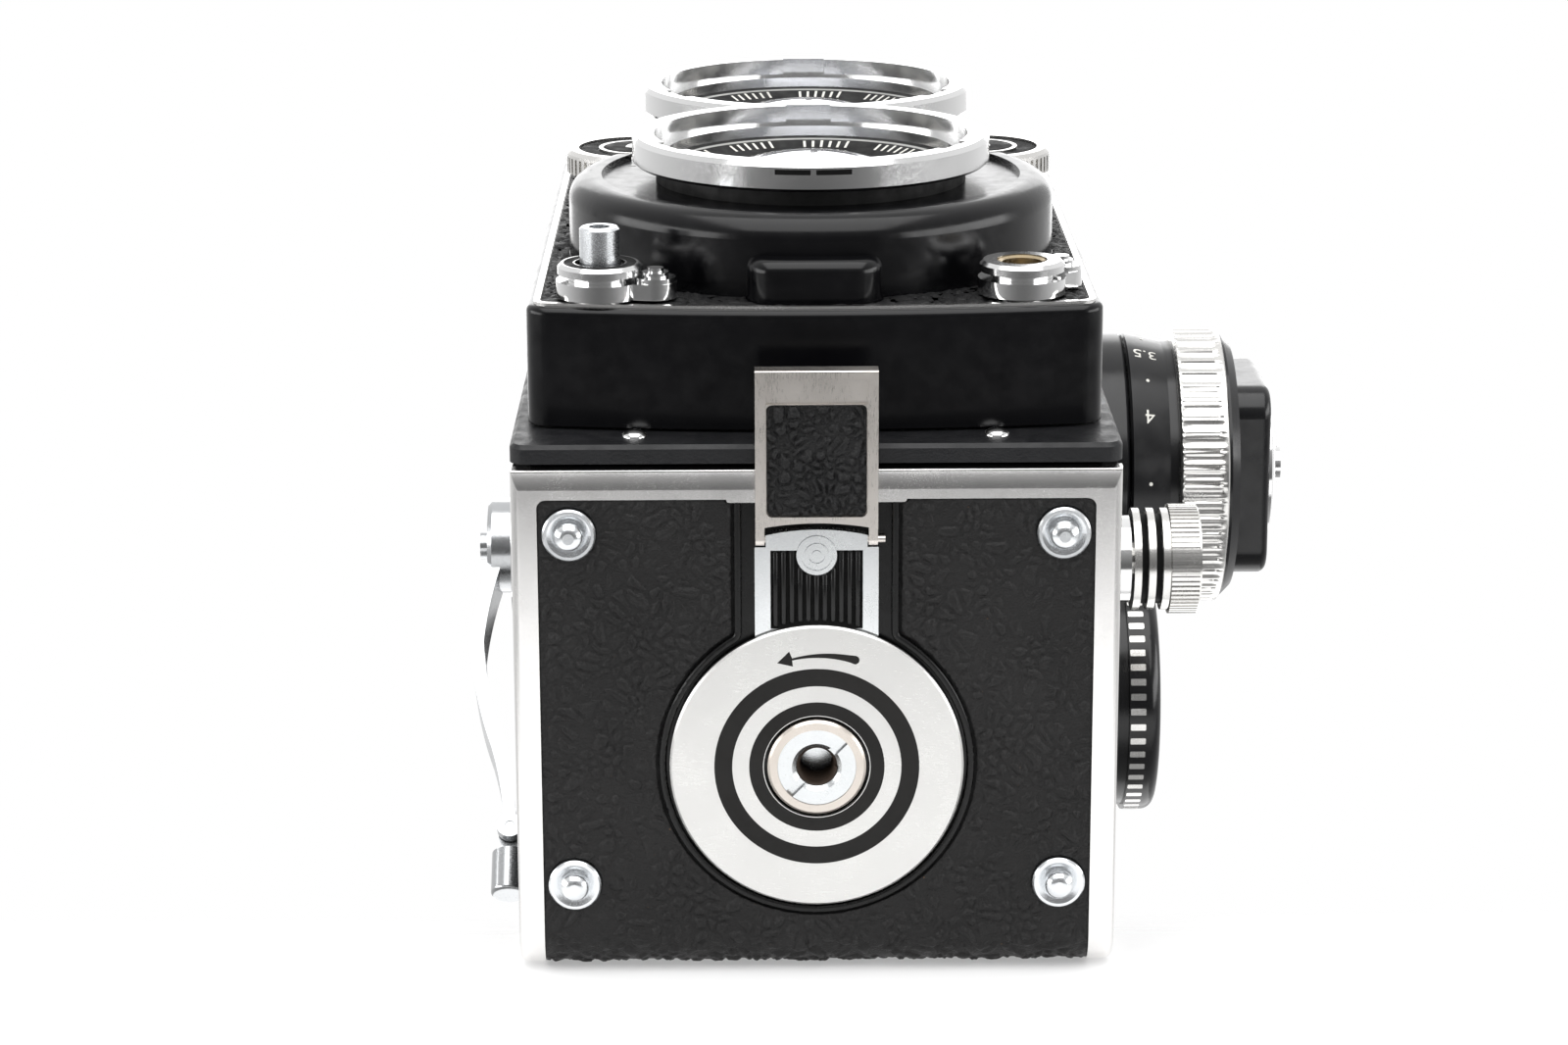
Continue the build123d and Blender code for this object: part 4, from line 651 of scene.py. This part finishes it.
skin("clasp_skin", [rounded(-6.02, 26.93, 6.02, 40.75, 0.8)], on_base(0.58), material_name="clasp_leather",
     body="clasp", salt=41, spacing=0.17, size=1.35, depth=1.0, replaces=("clasp_leather",), edge=0.45,
     drop=0.2, crease=0.6, thick=0.45)

hood_top_z = 141.25
skin("hood_skin", [rounded(-33.6, -28.2, 33.6, 26.2, 2.0)], lambda u, v, h: stack(u, -v, hood_top_z + h),
     material_name="side_leather", body="hood_lid", salt=51, spacing=0.45, size=1.5, depth=0.2, crease=0.6,
     thick=0.45)

# ---------------------------------------------------------------- latch: ribs between dial and rivet
rib_count, rib_pitch, rib_half = 11, 1.0, 0.34
rib_tip_z, rib_foot_z, rib_start_y = 1.62, 2.02, -22.45
link_r, rivet_y, rivet_r = dial_r + 0.35, -22.0, 2.5
points, faces = [], []
around = np.linspace(0, math.pi, 9)
for k in range(rib_count):
    x = (k - (rib_count - 1) / 2) * rib_pitch
    y1 = dial_y - math.sqrt(link_r ** 2 - x ** 2) - 0.05
    y0 = rib_start_y if abs(x) >= rivet_r else rivet_y + math.sqrt(rivet_r ** 2 - x ** 2) + 0.1
    stations = [(y0, 0.05), (y0 + 0.12, 0.6), (y0 + 0.35, 1.0),
                (y1 - 0.35, 1.0), (y1 - 0.12, 0.6), (y1, 0.05)]
    first = len(points)
    for y, share in stations:
        for a in around:
            points.append((x - rib_half * math.cos(a) * (0.6 + 0.4 * share), y,
                           rib_foot_z - (rib_foot_z - rib_tip_z) * share * math.sin(a) ** 0.7))
    for s in range(len(stations) - 1):
        for a in range(len(around) - 1):
            q = first + s * len(around) + a
            faces.append([q, q + len(around), q + len(around) + 1, q + 1])
piece("link_rib_set", points, faces, "rib_black", "latch", smooth=True, replaces=("link_ribs",))
bed = ([(-5.6, -22.6), (-2.4, -22.6)] + arc(0, rivet_y, rivet_r, 194, -14, -6) + [(2.4, -22.6), (5.6, -22.6)]
       + arc(0, dial_y, link_r, -90 + 17.7, -90 - 17.7, -3))
flat("link_rib_bed", [[[(x, -y) for x, y in bed][::-1]]], on_base(0), -2.0, -2.2, "slot_black", "latch")

# ---------------------------------------------------------------- lock dial markings
ring_bands = [[circle(0, -dial_y, 12.57, 120), circle(0, -dial_y, 10.37, 120)],
              [circle(0, -dial_y, 8.3, 96), circle(0, -dial_y, 6.6, 96)]]
flat("dial_bands", ring_bands, on_base(dial_face_z), mark_top, mark_root, "dial_ink", "lock_dial")
# the arrow's shaft as (x, y, half width), bowed and thickening from its tip to its tail
shaft = [(4.65 - 7.65 * t, 13.68 + 0.12 * t + 2.0 * t * (1 - t), 0.55 - 0.42 * t ** 0.6)
         for t in np.linspace(0, 1, 13)]
arrow = ([(x, y + w) for x, y, w in shaft] + [(-3.36, 14.8), (-4.82, 13.34), (-2.9, 12.9)]
         + [(x, y - w) for x, y, w in shaft[::-1]] + arc(4.65, 13.68, 0.55, -72, 72, 18))
flat("dial_arrow", [[[(x, y - dial_y) for x, y in arrow]]], on_base(dial_face_z), mark_top, mark_root,
     "dial_ink", "lock_dial")

# ---------------------------------------------------------------- studs of the front flange
for stud_name, x in (("flange_stud_left", -22.0), ("flange_stud_right", 22.0)):
    lathe(stud_name,
          [(0.01, 0.8), (0.6, 0.74), (1.1, 0.56), (1.45, 0.3), (1.55, 0.0), (1.55, -0.3), (0.01, -0.3)],
          (x, flange_face_y, 7.4), (0, -1, 0), "bright_chrome", "camera_body", count=40)

# ---------------------------------------------------------------- lens rings: window, name ring marks
cone_outer_r, cone_inner_r = 18.4, 13.8


def on_ring(y_rear, z_middle):
    """u runs round the ring from its -Z side, v forward along -Y, h outward, all mm."""
    def place(u, v, h):
        a = u / ring_r - math.pi / 2
        r = ring_r + h
        return stack(r * np.cos(a), y_rear - v, z_middle + r * np.sin(a))
    return place


def dense(x0, y0, x1, y1, step=0.6):
    """A rectangle with extra points so that it can bend round a ring."""
    return resample([(x0, y0), (x1, y0), (x1, y1), (x0, y1)], step)


for ring_name, rear, middle_z in (("taking", taking_rear_y, taking_z),
                                 ("viewing", viewing_rear_y, viewing_z)):
    place = on_ring(rear, middle_z)
    if ring_name == "taking":
        flat("taking_ring_window", [[dense(-5.5, 2.0, 5.5, 3.05), dense(-4.8, 2.2, -0.35, 2.85),
                                     dense(0.35, 2.2, 4.8, 2.85)]], place, 0.06, -0.1, "ring_chrome",
             "lens_board")
        flat("taking_ring_panes", [[dense(-4.8, 2.2, -0.35, 2.85)], [dense(0.35, 2.2, 4.8, 2.85)]],
             place, 0.015, -0.1, "slot_black", "lens_board")
    # plain name ring: an engraved scale of short bars in groups
    bars = []
    for i in range(90):
        if i % 9 in (6, 7, 8):
            continue
        a = math.radians(4 * i)
        low_r, high_r, half = 15.45, (16.95 if i % 3 else 17.1), 0.17
        c, sn = math.cos(a), math.sin(a)
        bars.append([[(c * r - sn * wide, middle_z + sn * r + c * wide)
                      for r, wide in ((low_r, -half), (high_r, -half), (high_r, half), (low_r, half))]])

    def on_cone(u, v, h, z0=middle_z, face=rear):
        """The hollow cone of the name ring, 1.6 mm deep between its two radii."""
        r = np.hypot(u, v - z0)
        return stack(u, face + 1.6 * (cone_outer_r - r) / (cone_outer_r - cone_inner_r) - h, v)

    flat(ring_name + "_name_bars", bars, on_cone, mark_top, mark_root, "ink_white", "lens_board")
    groove = [(17.75, 0.30), (17.55, 0.36), (17.35, 0.44), (17.35, 0.55), (17.75, 0.42)]
    lathe(ring_name + "_name_line", [(r, -(h - 0.09)) for r, h in groove], (0, rear, middle_z), (0, -1, 0),
          "ink_grey", "lens_board", count=120)

# ---------------------------------------------------------------- drum scales (generic)
ticks = []
tick_outer_r, number_r = 25.4, 23.2
for degrees_at in np.arange(20, 161, 4.0):
    if 62 < degrees_at < 118:
        continue
    a = math.radians(degrees_at)
    long = 1.1 if int(degrees_at) % 20 == 0 else 0.6
    c, s = math.cos(a), math.sin(a)
    inner, outer, half = tick_outer_r - long, tick_outer_r, 0.11
    ticks.append([[(c * r - s * w, taking_z + s * r + c * w)
                   for r, w in ((inner, -half), (outer, -half), (outer, half), (inner, half))]])
flat("drum_ticks", ticks, on_front(drum_face_y), mark_top, mark_root, "ink_grey", "lens_board")
drum_marks = []
for text, degrees_at in (("500", 24), ("250", 34), ("100", 44), ("50", 53), ("22", 156), ("16", 147),
                         ("11", 139), ("8", 131), ("5.6", 124)):
    a = math.radians(degrees_at)
    drum_marks.append((text, 1.35, number_r * math.cos(a), taking_z + number_r * math.sin(a),
                       degrees_at - 90))
lettering("drum_numbers", drum_marks, on_front(drum_face_y), mark_top, mark_root, "ink_grey", "lens_board")

# ---------------------------------------------------------------- collars: black inlay, brass socket
flat("release_inlay", [[circle(release_x, release_z, 4.45, 60), circle(release_x, release_z, 3.3, 60)]],
     on_front(collar_face_y), mark_top, curved_root, "slot_black", "lens_board")
lathe("sync_socket", [(2.5, -3.0), (2.5, -0.35), (2.95, -0.15), (3.08, -0.35), (3.08, -3.0)],
      (sync_x, collar_face_y, sync_z), (0, -1, 0), "brass", "lens_board", count=60)
lathe("sync_pin", [(0.01, -3.6), (0.6, -3.6), (0.6, -1.5), (0.35, -1.2), (0.01, -1.15)],
      (sync_x, collar_face_y, sync_z), (0, -1, 0), "brass", "lens_board", count=32)

# ---------------------------------------------------------------- thumb wheels
for body_name, x in (("aperture_wheel", -wheel_x), ("speed_wheel", wheel_x)):
    here = (x, wheel_face_y, wheel_z)
    lathe(body_name + "_dish",
          [(7.85, -0.33), (5.25, -0.33), (5.25, -0.28), (6.0, -0.22), (7.1, -0.22), (7.85, -0.28)],
          here, (0, -1, 0), "slot_black", body_name, count=72)
    lathe(body_name + "_hub", [(0.01, 0.25), (1.3, 0.22), (1.55, 0.08), (1.55, -0.2), (0.01, -0.2)],
          here, (0, -1, 0), "bright_chrome", body_name, count=40)
    lathe(body_name + "_centre", [(1.6, 0.02), (4.4, 0.05), (4.6, 0.0), (4.6, -0.2), (1.6, -0.2)],
          here, (0, -1, 0), "slot_black", body_name, count=60)

# ---------------------------------------------------------------- focus knob: fluted ring, scale
flutes, samples = 52, 14
flute_width = math.radians(6.92) * focus_r
# (x, how far the edge is drawn in, share of the flutes' depth)
stations = [(51.32, 0.35, 0.0), (51.6, 0.05, 0.0), (51.75, 0.0, 0.3), (52.1, 0.0, 1.0), (56.6, 0.0, 1.0),
            (57.2, 0.0, 0.75), (57.6, 0.0, 0.0), (57.95, 0.05, 0.0), (58.18, 0.35, 0.0)]
points, faces = [], []
total = flutes * samples
for x, inset, share in stations:
    for i in range(total):
        a = 2 * math.pi * i / total
        t = (i % samples) / samples * flute_width
        groove = max(0.0, 1 - abs(t - 0.25) / 0.22) * 0.34
        scallop = max(0.0, 1 - ((t - 1.35) / 0.68) ** 2) * 0.24
        r = focus_r - inset - share * max(groove, scallop)
        points.append((x, focus_y + r * math.cos(a), focus_z + r * math.sin(a)))
for s in range(len(stations) - 1):
    for i in range(total):
        j = (i + 1) % total
        faces.append([s * total + i, s * total + j, (s + 1) * total + j, (s + 1) * total + i])
hub_r = 17.6
for s in (0, len(stations) - 1):
    x = stations[s][0]
    first = len(points)
    for i in range(total):
        a = 2 * math.pi * i / total
        points.append((x, focus_y + hub_r * math.cos(a), focus_z + hub_r * math.sin(a)))
    for i in range(total):
        j = (i + 1) % total
        quad = [s * total + i, s * total + j, first + j, first + i]
        faces.append(quad[::-1] if s == 0 else quad)
grip = piece("focus_grip", points, faces, "knurl_chrome", "focus_knob", replaces=("focus_grip_ring",))
grip.data.shade_smooth()
grip.data.set_sharp_from_angle(angle=math.radians(40))


def on_knob(y, z, radius):
    """u runs round a knob on the +X side starting at its -Z side, v is along X, h outward."""
    def place(u, v, h):
        a = u / radius - math.pi / 2
        r = radius + h
        return stack(v, y + r * np.cos(a), z + r * np.sin(a))
    return place


scale_x, scale_end_x, scale_r, scale_end_r = 44.9, 50.1, 18.9, 17.7
mark_x, mark_r = 47.3, 18.2


def on_scale(u, v, h):
    """The tapered scale ring: u in degrees from the -Z side towards +Y, v along X."""
    a = np.radians(u) - math.pi / 2
    r = scale_r - (v - scale_x) * (scale_r - scale_end_r) / (scale_end_x - scale_x) + h
    return stack(v, focus_y + r * np.cos(a), focus_z + r * np.sin(a))


def scale_text(marks, name):
    """marks are (text, height, place in degrees), written round the scale ring."""
    points, faces, first = [], [], 0
    for text, height, at in marks:
        uv, tris = glyphs(text, height)
        uv = np.stack([at + np.degrees(uv[:, 1] / mark_r), mark_x - uv[:, 0]], axis=1)
        p, f = solid(uv, tris[:, ::-1], on_scale, mark_top, curved_root)
        points.append(p)
        faces += [[i + first for i in face] for face in f]
        first += len(p)
    piece(name, np.vstack(points), faces, "ink_white", "focus_knob")


scale_text([(text, 2.1, at) for text, at in (
    ("20", 198), ("15", 166), ("10", 134), ("8", 106), ("6", 72), ("5", 40), ("4", -36), ("3.5", -72),
    ("3", -106), ("2.5", -136))], "focus_numbers")
focus_dots = []
for at in (-6, -54, -89, -121, 56, 89, 120, 150, 182):
    focus_dots.append([[(at + math.degrees(u / mark_r), v) for u, v in circle(0, mark_x, 0.26, 12)]])
flat("focus_dots", focus_dots, on_scale, mark_top, curved_root, "ink_white", "focus_knob")

# ---------------------------------------------------------------- film reminder dial: ring of dashes
dial_dashes = []
dash_count, dash_half = 51, 0.44
dash_step = 2 * math.pi * 15.98 / dash_count
for i in range(dash_count):
    u = i * dash_step
    dial_dashes.append([rounded(u - dash_half, 41.95, u + dash_half, 43.95, 0.14, 30)])
flat("film_dial_dashes", dial_dashes, on_knob(film_dial_y, film_dial_z, film_dial_r), mark_top, curved_root,
     "knurl_chrome", "film_dial")

# ---------------------------------------------------------------- lower spool knob: dark grooves
for i, x in enumerate((40.6, 42.4)):
    lathe("lower_knob_groove_%d" % i, [(5.45, 0.0), (5.62, 0.02), (5.62, 0.88), (5.45, 0.9)],
          (x, supply_y, supply_z), (1, 0, 0), "slot_black", "lower_knob", count=60)

# ---------------------------------------------------------------- tripod thread
turns, per_turn, thread_r = 6, 36, 2.5
thread_start_z, thread_lead, thread_half, thread_depth = 1.75, 0.95, 0.36, 0.42
points, faces = [], []
for i in range(turns * per_turn + 1):
    a = 2 * math.pi * i / per_turn
    z = thread_start_z + thread_lead * i / per_turn
    for r, dz in ((thread_r, -thread_half), (thread_r - thread_depth, 0.0), (thread_r, thread_half)):
        points.append((r * math.cos(a), dial_y + r * math.sin(a), z + dz))
for i in range(turns * per_turn):
    for k in (0, 1):
        q = i * 3 + k
        faces.append([q, q + 1, q + 4, q + 3])
piece("tripod_thread", points, faces, "bore_brown", "back_door", smooth=True)


# ---------------------------------------------------------------- stage
def stage_plane(name, corners_mm, material):
    mesh = bpy.data.meshes.new(name)
    mesh.from_pydata([[c * MM for c in p] for p in corners_mm], [], [(0, 1, 2, 3)])
    mesh.materials.append(material)
    made = bpy.data.objects.new(name, mesh)
    scene.collection.objects.link(made)
    return made


def axis_part(n, index):
    """X, Y or Z of the shaded place, in metres."""
    split = n.add("ShaderNodeSeparateXYZ", {"Vector": n.place()})
    return split.node.outputs[index]


def photo_fade(n):
    """Opacity of the white behind the camera's back; all distances in metres."""
    x, z = axis_part(n, 0), axis_part(n, 2)
    sides = n.span(n.math("ABSOLUTE", x), 0.10, 0.19, 1.0, 0.0)
    near = n.span(z, -0.225, -0.16, 0.0, 1.0)
    far = n.span(z, 0.004, 0.022, 1.0, 0.0)
    return n.math("MULTIPLY", n.math("MULTIPLY", sides, near), far)


def table_fade(n):
    """Opacity of the table, fading out between 0.25 and 0.5 m."""
    x, y = axis_part(n, 0), axis_part(n, 1)
    r = n.math("SQRT", n.math("ADD", n.math("MULTIPLY", x, x), n.math("MULTIPLY", y, y)))
    return n.span(r, 0.25, 0.5, 1.0, 0.0)


floor_half, floor_y, floor_low, floor_high = 200, 32.45, -250, 30
photo_floor = stage_plane("photo_floor",
                          [(-floor_half, floor_y, floor_low), (floor_half, floor_y, floor_low),
                           (floor_half, floor_y, floor_high), (-floor_half, floor_y, floor_high)],
                          glow_white("floor_white", photo_fade, 0.24))
photo_floor.visible_shadow = False
table_half, table_z = 600, -0.05
table_floor = stage_plane("table_floor",
                          [(-table_half, -table_half, table_z), (table_half, -table_half, table_z),
                           (table_half, table_half, table_z), (-table_half, table_half, table_z)],
                          glow_white("table_white", table_fade, 0.25))
for flag in ("visible_diffuse", "visible_glossy", "visible_transmission", "visible_shadow"):
    setattr(table_floor, flag, False)


def softbox(name, at_mm, aim_mm, width, height, radiance):
    """A rectangular light with its width and height in metres, aimed at a point."""
    light = bpy.data.lights.new(name, "AREA")
    light.shape = "RECTANGLE"
    light.size, light.size_y = width, height
    light.energy = radiance * math.pi * width * height
    made = bpy.data.objects.new(name, light)
    at = Vector(at_mm) * MM
    made.location = at
    made.rotation_euler = (Vector(aim_mm) * MM - at).to_track_quat("-Z", "Y").to_euler()
    made.visible_camera = False
    scene.collection.objects.link(made)
    return made


softbox("key_light", (0, -550, -150), (0, 0, 60), 0.7, 0.7, 2.4)
softbox("left_strip", (-500, -100, -120), (0, 0, 30), 0.2, 0.6, 4.0)
softbox("right_strip", (500, -100, -120), (0, 0, 30), 0.2, 0.6, 4.0)
softbox("rear_fill", (0, 600, 300), (0, 0, 70), 0.6, 0.6, 1.2)
softbox("top_light", (0, -100, 750), (0, 0, 70), 0.6, 0.6, 1.6)

world = bpy.data.worlds.new("studio")
scene.world = world
world.use_nodes = True
world.node_tree.nodes.clear()
w = Nodes(world.node_tree)
direction = w.add("ShaderNodeTexCoord", output="Generated")
parts = w.add("ShaderNodeSeparateXYZ", {"Vector": direction}).node
toward_top = w.span(parts.outputs[2], -1.0, 1.0, 0.14, 0.95)
toward_front = w.span(parts.outputs[1], -1.0, 0.0, 0.35, 0.0)
strength = w.math("ADD", toward_top, toward_front)
seen = w.add("ShaderNodeLightPath", output="Is Camera Ray")
studio = w.add("ShaderNodeBackground", {"Color": (1, 1, 1, 1)})
w.feed(studio.node.inputs["Strength"], strength)
white = w.add("ShaderNodeBackground", {"Color": (1, 1, 1, 1), "Strength": 1.0})
both = w.add("ShaderNodeMixShader")
w.feed(both.node.inputs[0], seen)
world.node_tree.links.new(studio, both.node.inputs[1])
world.node_tree.links.new(white, both.node.inputs[2])
world_out = world.node_tree.nodes.new("ShaderNodeOutputWorld")
world.node_tree.links.new(both, world_out.inputs[0])
